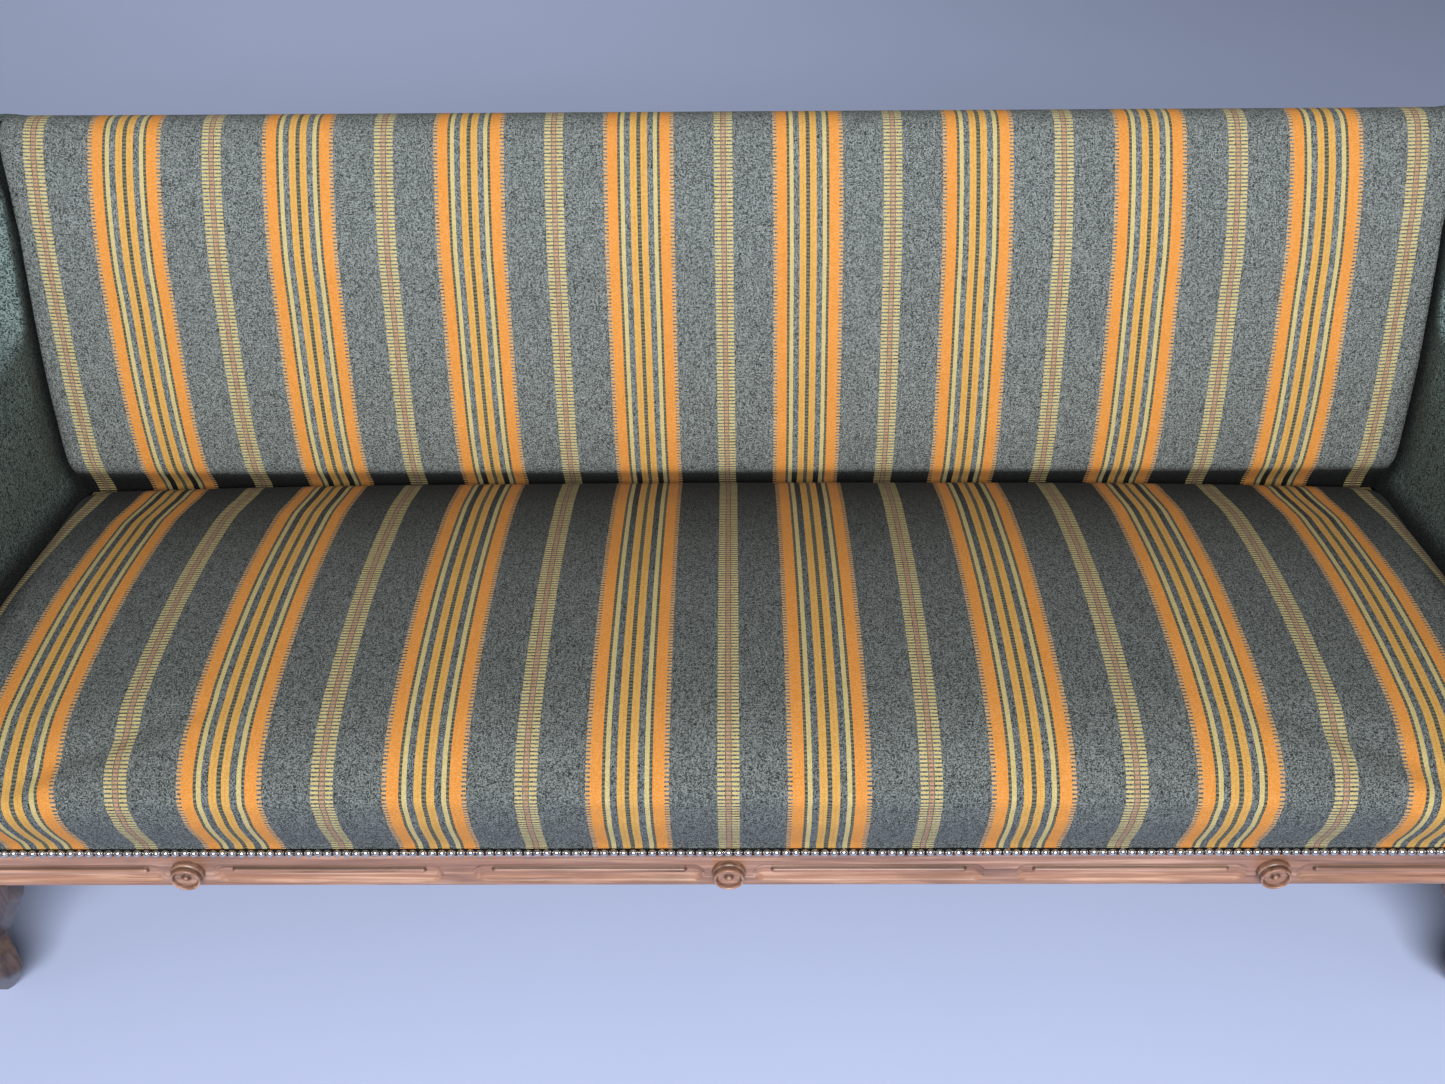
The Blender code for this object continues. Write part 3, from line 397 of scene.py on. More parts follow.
# Coarse cloth: crossed threads, each a sine of the distance across it, with uneven yarn
def makeCoarse(name, settings):
    web = Web(name, {"Roughness": 0.95, "Specular IOR Level": 0.2})
    place = web.weavePlace()
    across, along, _ = web.split(place)
    pitch = settings["pitch"]
    threads = web.maths("MAXIMUM", web.wave(across, pitch), web.wave(along, pitch))
    height = threads * 0.7 + web.noise(place, 0.6 / pitch, 3.0) * 0.3
    return web.finish(web.mix(height, settings["dark"], settings["pale"]), height, 0.0006, 0.6)


finishes = {"striped_fabric": makeStripes(stripeSettings), "green_fabric": makeGreen(greenSettings)}
for makeFinish, table in ((makeWood, woodSettings), (makeMetal, metalSettings), (makeCoarse, coarseSettings)):
    for finishName, finishSettings in table.items():
        finishes[finishName] = makeFinish(finishName, finishSettings)
print("materials made")


# A smoother line: every corner is cut a quarter of the way along its edges, and the ends stay
def smoothLine(points, rounds):
    line = np.asarray(points, float)
    for _ in range(rounds):
        near, far = line[..., :-1, :], line[..., 1:, :]
        cut = np.stack((near * 0.75 + far * 0.25, near * 0.25 + far * 0.75), axis=-2)
        cut = cut.reshape(*line.shape[:-2], -1, line.shape[-1])
        line = np.concatenate((line[..., :1, :], cut, line[..., -1:, :]), axis=-2)
    return line


# Lengths along a line, summed from its first point
def lengthsAlong(line):
    steps = np.linalg.norm(np.diff(line, axis=-2), axis=-1)
    start = np.zeros((*steps.shape[:-1], 1))
    return np.concatenate((start, np.cumsum(steps, axis=-1)), axis=-1)


# Points of a line at given shares of its length
def pointsAt(line, shares):
    line = np.asarray(line, float)
    along = lengthsAlong(line)
    return np.stack([np.interp(shares * along[-1], along, values) for values in line.T], axis=1)


# The line through corners (y, z, radius): an arc is drawn to its corner by the cosine of half the turn
def roundedLine(corners, steps=12):
    spots = np.array([corner[:2] for corner in corners])
    share = np.linspace(0, 1, steps)[:, None]
    line = [spots[:1]]
    for before, spot, after, corner in zip(spots, spots[1:], spots[2:], corners[1:]):
        into = (spot - before) / np.linalg.norm(spot - before)
        out = (after - spot) / np.linalg.norm(after - spot)
        turn = np.arccos(np.clip(into @ out, -1, 1))
        reach = corner[2] * tan(turn / 2)
        near, middle, far = (1 - share) ** 2, 2 * share * (1 - share) * cos(turn / 2), share**2
        arc = near * (spot - into * reach) + middle * spot + far * (spot + out * reach)
        line.append(arc / (near + middle + far))
    line.append(spots[-1:])
    return np.vstack(line)


# Directions to the left of a line's run, square to it
def leftOf(line):
    run = np.gradient(line, axis=-2)
    run /= np.linalg.norm(run, axis=-1, keepdims=True)
    return np.stack((-run[..., 1], run[..., 0]), axis=-1)


# 0 to 1, eased, as a value goes from low to high
def ease(value, low, high):
    share = np.clip((value - low) / (high - low), 0, 1)
    return share * share * (3 - 2 * share)


# A quarter of a circle: 0 at the edge, 1 once the distance from it reaches the radius
def quarterRound(distance, radius):
    share = np.clip(distance / radius, 0, 1)
    return np.sqrt(1 - (1 - share) ** 2)


# The cells of a grid of point numbers, as faces of four corners
def gridQuads(numbers):
    corners = (numbers[:-1, :-1], numbers[1:, :-1], numbers[1:, 1:], numbers[:-1, 1:])
    return np.stack(corners, axis=-1).reshape(-1, 4)


# The volume inside closed faces of four corners, negative where they are inside out
def signedVolume(points, quads):
    points = points - points.mean(axis=0)
    a, b, c, d = (points[quads[:, corner]] for corner in range(4))
    triple = np.einsum("ij,ij->i", a, np.cross(b, c)) + np.einsum("ij,ij->i", a, np.cross(c, d))
    return triple.sum() / 6


# One value for each point, kept on the mesh for its material
def setValues(mesh, name, values):
    mesh.attributes.new(name, "FLOAT", "POINT").data.foreach_set("value", values.astype(np.float32))


# A mesh object from points, faces, flat places of the weave and one value for each point that darkens or
# lightens its finish: wax and painted light
def makePiece(name, points, faces, finish, weave=None, waxAndPaintedLight=None, sharp=None, merged=True):
    mesh = bpy.data.meshes.new(name)
    mesh.from_pydata(points.tolist(), [], [list(face) for face in faces])
    if weave is not None:
        corners = np.empty(len(mesh.loops), int)
        mesh.loops.foreach_get("vertex_index", corners)
        mesh.uv_layers.new(name="weave").data.foreach_set("uv", weave[corners].astype(np.float32).ravel())
    if waxAndPaintedLight is not None:
        setValues(mesh, "waxAndPaintedLight", waxAndPaintedLight)
    if merged:
        welded = bmesh.new()
        welded.from_mesh(mesh)
        bmesh.ops.remove_doubles(welded, verts=welded.verts, dist=0.000005)
        welded.to_mesh(mesh)
        welded.free()
    mesh.shade_smooth()
    if sharp is not None:
        mesh.set_sharp_from_angle(angle=radians(sharp))
    mesh.materials.append(finishes[finish])
    piece = bpy.data.objects.new(name, mesh)
    scene.collection.objects.link(piece)
    return piece


# Points and faces of a closed shell: a front grid, a back grid of the same size, and a rim round both
def shellParts(front, back):
    numbers = np.arange(front[..., 0].size).reshape(front.shape[:2])
    size = numbers.size
    points = np.vstack((front.reshape(-1, 3), back.reshape(-1, 3)))
    loop = np.concatenate((numbers[:, 0], numbers[-1, 1:], numbers[-2::-1, -1], numbers[0, -2::-1]))
    here, there = loop[:-1], loop[1:]
    rim = np.stack((there, here, here + size, there + size), axis=1)
    quads = np.vstack((gridQuads(numbers), gridQuads(numbers + size)[:, ::-1], rim))
    if signedVolume(points, quads) < 0:
        quads = quads[:, ::-1]
    return points, quads


# A piece that is one shell; front and back share the flat places of the weave
def makeShell(name, front, back, finish, weave):
    points, quads = shellParts(front, back)
    return makePiece(name, points, quads, finish, np.tile(weave.reshape(-1, 2), (2, 1)), merged=False)


# A closed body: rings of points, each joined to the next, with a flat face across each end
def makeBody(name, rings, finish, waxAndPaintedLight=None, sharp=None):
    count, around = rings.shape[:2]
    points = rings.reshape(-1, 3)
    numbers = np.arange(count)[:, None] * around + np.hstack((np.arange(around), 0))
    quads = gridQuads(numbers)
    first, last = numbers[0, :-1], numbers[-1, :-1][::-1]
    if signedVolume(points, quads) < 0:
        quads, first, last = quads[:, ::-1], first[::-1], last[::-1]
    faces = [*quads.tolist(), first.tolist(), last.tolist()]
    if waxAndPaintedLight is not None:
        waxAndPaintedLight = np.broadcast_to(waxAndPaintedLight, (count, around)).ravel()
    return makePiece(name, points, faces, finish, waxAndPaintedLight=waxAndPaintedLight, sharp=sharp)


# Worn edges: a bevel of two steps wherever faces meet at more than 30 degrees
def bevelled(piece, width):
    rounded = piece.modifiers.new("worn edges", "BEVEL")
    rounded.width = width
    rounded.segments = 2
    rounded.limit_method = "ANGLE"
    rounded.angle_limit = radians(30)


# The piece rides on the sofa, and the CAD nodes it replaces are hidden
def settle(piece, slot, *nodes):
    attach(piece, "root")
    if nodes:
        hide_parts(*nodes)


# Points of a finished mesh as an array
def pointsOf(mesh):
    values = np.empty(len(mesh.vertices) * 3, np.float32)
    mesh.vertices.foreach_get("co", values)
    return values.reshape(-1, 3)


# A shell's front swells under pressure where it isn't held; each point's move is cut to the cap
def swellCloth(piece, held, settings):
    before = pointsOf(piece.data)
    group = piece.vertex_groups.new(name="sewn")
    levels = np.round(np.concatenate((held.ravel(), np.ones(held.size))), 1)
    for level in np.unique(levels):
        group.add(np.nonzero(levels == level)[0].tolist(), float(level), "REPLACE")
    cloth = piece.modifiers.new("swell", "CLOTH")
    values = {
        "quality": 5,
        "mass": 0.3,
        "tension_stiffness": settings["tension"],
        "compression_stiffness": settings["tension"],
        "shear_stiffness": settings["tension"] / 2,
        "bending_stiffness": settings["bending"],
        "vertex_group_mass": "sewn",
        "use_pressure": True,
        "uniform_pressure_force": settings["pressure"],
    }
    for name, value in values.items():
        setattr(cloth.settings, name, value)
    cloth.settings.effector_weights.gravity = 0
    cloth.collision_settings.use_collision = False
    for step in range(1, settings["steps"] + 1):
        scene.frame_set(step)
    swollen = piece.evaluated_get(bpy.context.evaluated_depsgraph_get())
    moved = pointsOf(swollen.data) - before
    reach = np.linalg.norm(moved, axis=1, keepdims=True)
    moved *= np.minimum(1, settings["cap"] / np.maximum(reach, 1e-9))
    piece.modifiers.remove(cloth)
    piece.vertex_groups.remove(group)
    piece.data.vertices.foreach_set("co", (before + moved).astype(np.float32).ravel())
    piece.data.update()
    scene.frame_set(1)
    print(f"{piece.name} swelled by up to {reach.max() * 1000:.1f} mm")


# Boxes of the CAD nodes that the pieces are set against
railLow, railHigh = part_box("front_rail")
seatLow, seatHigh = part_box("seat_cover")
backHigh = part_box("back_cover")[1]
boxingLow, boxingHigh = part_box("right_arm_boxing")
outsideLow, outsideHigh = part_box("right_outside_arm_cover")
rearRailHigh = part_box("rear_seat_rail")[1]
edgeX = seatHigh.x + 0.0095  # the back meets the arms a little further out than the plain solids do
seatEdgeX = seatHigh.x + 0.0010
frameX = railHigh.x
frameTop = backHigh.z - 0.0357  # where the back's cover ends behind
lean = (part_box("top_back_rail")[1].y - rearRailHigh.y) / (frameTop - railHigh.z)
frameDepth = 0.0402


# Depth of the back frame's front face at a height
def frameFrontY(height):
    return rearRailHigh.y - frameDepth + lean * (height - railHigh.z)


# Seat and back
seatSettings = {
    "section": (  # shares of the run and of the rise, then how far the sides drop
        (0.040, 0.054, 0.05), (0.016, 0.364, 0.36), (0.000, 0.620, 0.62), (0.014, 0.720, 0.75),
        (0.040, 0.790, 0.85), (0.095, 0.891, 1.00), (0.193, 0.977, 1.00), (0.356, 1.000, 1.00),
        (0.500, 0.973, 1.00), (0.607, 0.928, 1.00), (0.735, 0.832, 0.97), (0.881, 0.690, 0.88),
        (0.990, 0.560, 0.66), (1.044, 0.478, 0.50), (1.078, 0.360, 0.35), (1.092, 0.200, 0.10),
    ),
    "run": 0.570,
    "rise": 0.129,
    "tack": (0.0028, 0.021),  # how far the nailed edge stands before the rail, and its height
    "sideDrop": 0.040,
    "sideReach": 0.25,
    "edgeRoll": 0.015,  # how far the cover sinks beside the arm
    "edgeReach": 0.011,
    "stations": 127,
    "points": 66,
    "inset": 0.003,  # the pad starts smaller by this, and swells
    "pattern": {"shift": 0.0, "skew": 0.0022, "level": 0.35, "spread": 0.047},
    "spreadAlong": ((0.10, 0.15, 0.23, 0.55, 0.62, 0.68, 0.74), (0.45, 0.75, 1.0, 1.0, 0.95, 0.45, 0.3)),
    # Painted shade along the seat's line: some on the front, less on the crown, more over the middle, most
    # down into the crease behind
    "paintedClothShadeAlong": (
        (0.0, 0.10, 0.17, 0.26, 0.45, 0.53, 0.59, 0.65, 0.69, 0.72),
        (0.85, 0.82, 0.60, 0.83, 0.97, 1.2, 1.50, 1.76, 1.95, 2.05),
    ),
    "sideShade": 0.085,
    "drawnIn": ((0.45, 0.62), (-0.004, 0.011)),  # the cloth's pull towards the middle beside the arms
    "freeAcross": (0.012, 0.24),  # where the cloth begins to swell, and where it swells freely
    "freeAlong": (0.06, 0.14, 0.88, 0.96),
    "cloth": {"tension": 40, "bending": 4, "pressure": 4, "steps": 20, "cap": 0.005},
}

backSettings = {
    "section": (  # shares of the depth and of the rise, then how far the sides are set back
        (0.105, -0.115, 0.0), (0.095, -0.070, 0.0), (0.050, -0.030, 0.6), (0.014, 0.012, 1.0),
        (0.010, 0.045, 1.0), (0.026, 0.090, 1.0), (0.101, 0.320, 1.0), (0.232, 0.554, 1.0),
        (0.295, 0.683, 1.0), (0.404, 0.830, 1.0), (0.505, 0.903, 1.0), (0.610, 0.963, 0.8),
        (0.673, 0.987, 0.5), (0.757, 1.000, 0.2), (0.847, 0.992, 0.0), (0.924, 0.969, 0.0),
        (0.964, 0.950, 0.0), (0.988, 0.939, 0.0), (0.997, 0.930, 0.0),
    ),
    "depth": 0.228,
    "base": 0.400,
    "rise": 0.440,
    "sideSet": 0.008,
    "sideReach": 0.080,
    "edgeRoll": 0.005,
    "edgeReach": 0.005,
    "stations": 127,
    "points": 60,
    "inset": 0.003,
    "pattern": {"shift": 0.0039, "skew": 0.0066, "level": 0.25, "spread": 0.018},
    "spreadAlong": ((0.0, 1.0), (1.0, 1.0)),
    # Painted shade: a dark band low on the back, where it goes down into the crease behind the seat, and a
    # narrow strip at its ends
    "paintedClothShadeAlong": ((0.0, 0.030, 0.042, 0.053), (2.1, 2.08, 1.9, 0.06)),
    "sideShade": 0.006,
    "flare": (  # how far the wing's inside and the back's end lie further out, by height
        (0.40, 0.44, 0.62, 0.72, 0.775, 0.81, 0.84),
        (0.003, 0.004, 0.004, 0.002, 0.008, 0.018, 0.023),
    ),
    "flareShare": 0.55,  # how much of it the weave follows
    "freeAcross": (0.012, 0.05),
    "freeAlong": (0.05, 0.14, 0.80, 0.9),
    "cloth": {"tension": 40, "bending": 4, "pressure": 4, "steps": 20, "cap": 0.005},
}
sideEase = 0.12  # width beside the arms over which the pads' shape settles


# Places across the sofa, closer together towards the sides: the sine of even steps
def stationsAcross(count, edge):
    steps = np.linspace(-1, 1, count) * 0.96 * pi / 2
    return edge * np.sin(steps) / np.sin(steps[-1])


# Rough lines smoothed, then cut into even steps
def evenLines(rough, count):
    evenly = np.linspace(0, 1, count)
    return np.stack([pointsAt(line, evenly) for line in smoothLine(rough, 3)])


# Lines set in where they are free: by an exponential roll beside the arms, and by the inset in the middle
def setIn(outer, fromEdge, free, settings):
    roll = settings["edgeRoll"] * np.exp(-fromEdge / settings["edgeReach"])
    evenly = np.linspace(0, 1, settings["points"])
    middle = np.sin(pi * evenly) ** 0.5 * ease(fromEdge, 0.0, sideEase)[:, None]
    return outer - leftOf(outer) * (roll[:, None] * free + settings["inset"] * middle * free)[..., None]


# How much painted shade darkens each point of a shell's front; its back takes the same
def setPaintedClothShade(pad, paintedClothShade):
    setValues(pad.data, "paintedClothShade", np.tile(paintedClothShade.ravel(), 2))


# A shell across the sofa from outer lines and one line under them. The weave lies along the outer ones; the
# cloth is shifted, askew by its distance from a level, and spread by the square of the distance across
def makePad(name, x, clothX, outer, under, fromEdge, settings):
    evenly = np.linspace(0, 1, settings["points"])
    under = np.broadcast_to(pointsAt(under, evenly), outer.shape)
    pattern = settings["pattern"]
    along = lengthsAlong(outer)
    spread = pattern["spread"] * np.interp(along, *settings["spreadAlong"])
    across = clothX + pattern["shift"] + pattern["skew"] * (along - pattern["level"])
    weave = np.dstack((across / (1 + spread * (np.minimum(np.abs(x), 0.8) / edgeX) ** 2), along))
    pad = makeShell(name, np.dstack((x, outer)), np.dstack((x, under)), "striped_fabric", weave)
    # Painted shade along each line and towards the sides beside the arms
    atSide = 1 - ease(np.abs(x).max() - np.abs(x), 0.0, settings["sideShade"])
    setPaintedClothShade(pad, np.maximum(np.interp(along, *settings["paintedClothShadeAlong"]), 1.95 * atSide))
    first, full, fading, last = settings["freeAlong"]
    free = ease(fromEdge, *settings["freeAcross"])[:, None] * ease(evenly, first, full)
    swellCloth(pad, 1 - free * (1 - ease(evenly, fading, last)), settings["cloth"])
    finer = pad.modifiers.new("finer", "SUBSURF")
    finer.levels = finer.render_levels = 1
    return pad


# Seat line at a station: up the front from the nails, over the crown and down behind; the sides hang lower
# by an exponential of the distance from the arm
def makeSeat(settings):
    stations = stationsAcross(settings["stations"], seatEdgeX - 0.0004)
    fromEdge = seatEdgeX - np.abs(stations)
    drop = settings["sideDrop"] * np.exp(-fromEdge / settings["sideReach"])
    shares = np.array(settings["section"])
    y = np.broadcast_to(seatLow.y + shares[:, 0] * settings["run"], (len(stations), len(shares)))
    z = railHigh.z + shares[:, 1] * settings["rise"] - drop[:, None] * shares[:, 2]
    proud, tackRise = settings["tack"]
    tack = ((railLow.y - proud, seatLow.z), (railLow.y - proud, seatLow.z + tackRise))
    rough = np.concatenate((np.broadcast_to(tack, (len(stations), 2, 2)), np.dstack((y, z))), axis=1)
    outer = evenLines(rough, settings["points"])
    free = ease(outer[..., 1], seatLow.z + 0.006, seatLow.z + 0.055)
    outer = setIn(outer, fromEdge, free, settings)
    under = (  # up behind the nails, over the rail, and down to the crease
        (railLow.y - 0.0004, seatLow.z + 0.0002),
        (railLow.y - 0.0004, railHigh.z + 0.0008),
        (railHigh.y - 0.0066, railHigh.z + 0.0008),
        (railHigh.y - 0.0064, 0.3985),
        (0.1975, 0.3484),
    )
    x = np.broadcast_to(stations[:, None], outer.shape[:2])
    beside = 1 - ease(fromEdge, 0.0, sideEase)[:, None]
    drawn = np.interp(lengthsAlong(outer), *settings["drawnIn"]) * beside
    pad = makePad("seatPad", x, x + np.sign(x) * drawn, outer, under, fromEdge, settings)
    settle(pad, "striped_fabric", "seat_cover", "seat_stuffing")


# The flare at places in depth and height: it ends in front of the top
def flareAt(y, z):
    return np.interp(z, *backSettings["flare"]) * (1 - ease(y, 0.375, 0.410))


# Back line at a station: from the crease up the front, over the top and down to the lip behind; the sides
# are set back by an exponential of the distance from the arm
def makeBack(settings):
    stations = stationsAcross(settings["stations"], edgeX - 0.0004)
    fromEdge = edgeX - np.abs(stations)
    setBack = settings["sideSet"] * np.exp(-fromEdge / settings["sideReach"])
    shares = np.array(settings["section"])
    base = backHigh.y + 0.0007 - settings["depth"]
    y = base + shares[:, 0] * settings["depth"] + setBack[:, None] * shares[:, 2]
    z = np.broadcast_to(settings["base"] + shares[:, 1] * settings["rise"], y.shape)
    lip = np.dstack((y[:, -1:], np.full((len(stations), 1), frameTop)))
    outer = evenLines(np.concatenate((np.dstack((y, z)), lip), axis=1), settings["points"])
    evenly = np.linspace(0, 1, settings["points"])
    free = ease(evenly, 0.0, 0.12) * (1 - ease(evenly, 0.86, 0.97))
    outer = setIn(outer, fromEdge, free, settings)
    low, high = z[0, 0], frameTop + 0.0003
    lowY, highY = frameFrontY(low) - 0.0045, frameFrontY(high) - 0.0045
    under = ((outer[0, 0, 0] + 0.002, low), (lowY, low), (highY, high), (0.4165, high))
    clothX = np.broadcast_to(stations[:, None], outer.shape[:2])
    flared = ease(np.abs(clothX), edgeX - sideEase, edgeX) * flareAt(outer[..., 0], outer[..., 1])
    x = clothX + np.sign(clothX) * flared
    share = settings["flareShare"]
    pad = makePad("backPad", x, x * share + clothX * (1 - share), outer, under, fromEdge, settings)
    settle(pad, "striped_fabric", "back_cover", "back_stuffing")


makeSeat(seatSettings)
print("seat made")
makeBack(backSettings)
print("back made")

# Arms
armSettings = {
    "edge": (  # corners of the edge in depth and height, and the radius of each
        (-0.3858, 0.300, 0), (-0.3858, 0.321, 0), (-0.396, 0.612, 0.055), (0.209, 0.612, 0.050),
        (0.2915, 0.8585, 0.034), (0.42, 0.8195, 0.013), (0.42, 0.8043, 0),
    ),
    "insideClose": ((-0.345, 0.300), (-0.3427, 0.3357), (0.3030, 0.3357), (0.3660, 0.8043)),
    "insideMatch": ((0, 0.24, 0.69, 0.895, 1), (0, 0.11, 0.50, 0.84, 1)),
    "outsideStart": (-0.3858, 0.2465, 0),
    "outsideClose": ((-0.376, 0.2465), (0.3450, 0.2465), (0.4187, 0.7943)),
    "outsideMatch": ((0, 0.27, 0.70, 0.90, 1), (0, 0.10, 0.455, 0.77, 1)),
    "seatTop": ((-0.42, -0.40, -0.30, -0.05, 0.2), (0.36, 0.40, 0.43, 0.42, 0.37)),  # its height by depth
    "backFront": ((0.40, 0.54, 0.70, 0.80, 0.84), (0.19, 0.215, 0.265, 0.30, 0.34)),  # its depth by height
    "alongPoints": 236,
    "insideRows": 40,
    "outsideRows": 44,
    "seamRound": 0.011,
    "puff": 0.003,  # how far the panel stands out right beside its seam
    "bulge": 0.004,
    "thickness": 0.022,
    "paintedClothShade": (0.32, 1.31),  # painted shade all over, and more where seat and back meet it
    "boxingPoints": 300,
    "boxingCrown": 0.0035,
    "boxingSeam": 0.0045,
    "boxingThickness": 0.0055,
    "outsideCrown": 0.0028,
    "cloth": {"tension": 30, "bending": 3, "pressure": 4, "steps": 20, "cap": 0.004},
}


# A sheet of points between two lines, at given steps on the way from the first to the second
def sheetBetween(edge, closing, match, along, steps):
    shares = np.linspace(0, 1, along)
    near = pointsAt(edge, shares)
    far = pointsAt(closing, np.interp(shares, *match))
    steps = steps[None, :, None]
    return near[:, None] * (1 - steps) + far[:, None] * steps


# Distance of every point of a sheet from a line, worked out to each of the line's edges at once
def distanceFrom(sheet, line):
    start, step = line[:-1], np.diff(line, axis=0)
    offset = sheet.reshape(-1, 1, 2) - start
    share = np.clip((offset * step).sum(axis=2) / np.maximum((step**2).sum(axis=1), 1e-12), 0, 1)
    nearest = np.linalg.norm(offset - share[..., None] * step, axis=2)
    return nearest.min(axis=1).reshape(sheet.shape[:2])


# How far the seam lies further out where the wing opens at its top, for places in depth and height
def wingFlare(places):
    return flareAt(places[..., 0], places[..., 1]) * ease(places[..., 1], 0.765, 0.80)


# Inside panel: it rolls back to the boxing seam, and swells where neither seat nor back presses on it
def makeInsideArm(side, name, settings):
    edge = roundedLine(settings["edge"])
    steps = np.linspace(0, 1, settings["insideRows"]) ** 2
    close, match = settings["insideClose"], settings["insideMatch"]
    sheet = sheetBetween(edge, close, match, settings["alongPoints"], steps)
    y, z = sheet[..., 0], sheet[..., 1]
    fromSeam = distanceFrom(sheet, pointsAt(edge, np.linspace(0, 1, 200)))
    aboveSeat = z - np.interp(y, *settings["seatTop"])
    beforeBack = np.interp(z, *settings["backFront"]) - y
    clear = np.maximum(ease(aboveSeat, 0.0, 0.06) * ease(beforeBack, 0.0, 0.06), ease(z, 0.845, 0.86))
    swell = clear * ease(fromSeam, 0.008, 0.07)
    deeper = ease(fromSeam, 0.006, 0.03)
    seamX = boxingLow.x - 0.0006 + wingFlare(sheet)
    besideX = seatEdgeX + (edgeX - seatEdgeX) * ease(aboveSeat, 0.0, 0.06)
    hiddenX = besideX + 0.0003 + np.maximum(flareAt(y, z) * deeper, wingFlare(sheet))
    faceX = clear * (seamX - settings["puff"]) + (1 - clear) * hiddenX
    rolled = quarterRound(fromSeam, settings["seamRound"])
    x = seamX + (faceX - seamX) * rolled - settings["bulge"] * swell
    behind = np.maximum(seamX + 0.0002 + settings["thickness"] * deeper, x + 0.0002)
    front, back = np.dstack((side * x, sheet)), np.dstack((side * behind, sheet))
    pad = makeShell(f"{name}ArmPad", front, back, "green_fabric", sheet)
    # Painted shade: the whole inside panel darker, and darker still near the seat and back
    plain, creaseShade = settings["paintedClothShade"]
    setPaintedClothShade(pad, plain + creaseShade * (1 - ease(np.minimum(aboveSeat, beforeBack), -0.01, 0.032)))
    swellCloth(pad, 1 - swell, settings["cloth"])
    settle(pad, "green_fabric", f"{name}_inside_arm_cover", f"{name}_arm_stuffing")


# Boxing: a band carried along the arm's edge, sunk at its two seams and crowned between them
def makeBoxing(side, name, settings):
    edge = pointsAt(roundedLine(settings["edge"]), np.linspace(0, 1, settings["boxingPoints"]))
    width = boxingHigh.x - boxingLow.x
    across = np.linspace(-1, 1, 31)
    across = np.sign(across) * (1 - (1 - np.abs(across)) ** 1.5)
    crowned = 1 - across**2
    sunk = 1 - quarterRound((1 - np.abs(across)) * width / 2, 0.008)
    length = lengthsAlong(edge)[:, None]
    rise = settings["boxingCrown"] * crowned - settings["boxingSeam"] * sunk
    rise = rise + 0.0004 * np.sin(length * 41 + side) * crowned
    out = leftOf(edge)
    opened = wingFlare(edge)[:, None] * (1 - across) / 2
    x = side * (boxingLow.x + opened + (across + 1) * width / 2)
    line = edge[:, None] + out[:, None] * rise[..., None]
    under = np.broadcast_to((edge - out * settings["boxingThickness"])[:, None], line.shape)
    weave = np.dstack((x, np.broadcast_to(length, x.shape)))
    band = makeShell(f"{name}ArmBoxing", np.dstack((x, line)), np.dstack((x, under)), "green_fabric", weave)
    settle(band, "green_fabric", f"{name}_arm_boxing")


# Outside panel: stretched nearly flat, rolled in at its seams and hem; its rows crowd at both edges
def makeOutsideArm(side, name, settings):
    edge = roundedLine((settings["outsideStart"], *settings["edge"][1:]))
    steps = (1 - np.cos(np.linspace(0, pi, settings["outsideRows"]))) / 2
    close, match = settings["outsideClose"], settings["outsideMatch"]
    sheet = sheetBetween(edge, close, match, settings["alongPoints"], steps)
    inward = distanceFrom(sheet, np.vstack((edge, close[::-1], edge[:1])))
    x = outsideLow.x + 0.0004 + (outsideHigh.x - 0.0022 - outsideLow.x) * quarterRound(inward, 0.014)
    x = x + settings["outsideCrown"] * ease(inward, 0.0, 0.16)
    behind = np.full(x.shape, outsideLow.x)
    front, back = np.dstack((side * x, sheet)), np.dstack((side * behind, sheet))
    panel = makeShell(f"{name}OutsideArm", front, back, "green_fabric", sheet)
    settle(panel, "green_fabric", f"{name}_outside_arm_cover")


sides = ((-1, "left"), (1, "right"))
for armSide, armName in sides:
    makeInsideArm(armSide, armName, armSettings)
    makeBoxing(armSide, armName, armSettings)
    makeOutsideArm(armSide, armName, armSettings)
print("arms made")

# Outside back
rearSettings = {"hem": 0.2465, "crown": 0.003, "sink": 0.0085, "edgeRound": 0.010, "across": 160, "up": 70}


# A leaning panel: places from side to side and from hem to top, rolled in at all four edges and crowned
def makeOutsideBack(settings):
    low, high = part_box("outside_back_cover")
    across = np.sin(np.linspace(-1, 1, settings["across"]) * pi / 2)
    up = (1 - np.cos(np.linspace(0, pi, settings["up"]))) / 2
    x = np.broadcast_to(across[:, None] * (high.x - 0.0008), (settings["across"], settings["up"]))
    z = np.broadcast_to(settings["hem"] + up * (high.z - 0.0004 - settings["hem"]), x.shape)
    faceY = high.y - lean * (high.z - z)
    inward = np.minimum(high.x - np.abs(x), np.minimum(z - settings["hem"], high.z - z))
    rolled = quarterRound(inward, settings["edgeRound"])
    y = faceY - settings["sink"] * (1 - rolled) + settings["crown"] * ease(inward, 0, 0.14) - 0.001
    front, back = np.dstack((x, y, z)), np.dstack((x, faceY - 0.0098, z))
    panel = makeShell("outsideBack", front, back, "green_fabric", np.dstack((x, z)))
    settle(panel, "green_fabric", "outside_back_cover")


makeOutsideBack(rearSettings)
print("outside back made")

# Front rail
railBase = railLow.z - 0.008  # the photograph shows the rail a little deeper than the plain solid
railSettings = {
    "carvingHeight": 0.263,
    "channels": (
        (-0.904, -0.643), (-0.589, -0.3245), (-0.2915, -0.027),
        (0.027, 0.2915), (0.3245, 0.589), (0.643, 0.904),
    ),
    "channelWidth": 0.0310,
    "channelDepth": 0.0064,
    "reedRadius": 0.0036,
    "reedShort": 0.0215,
    "edgeRadius": 0.003,
    "wander": 0.00025,  # of the hand-planed front
}


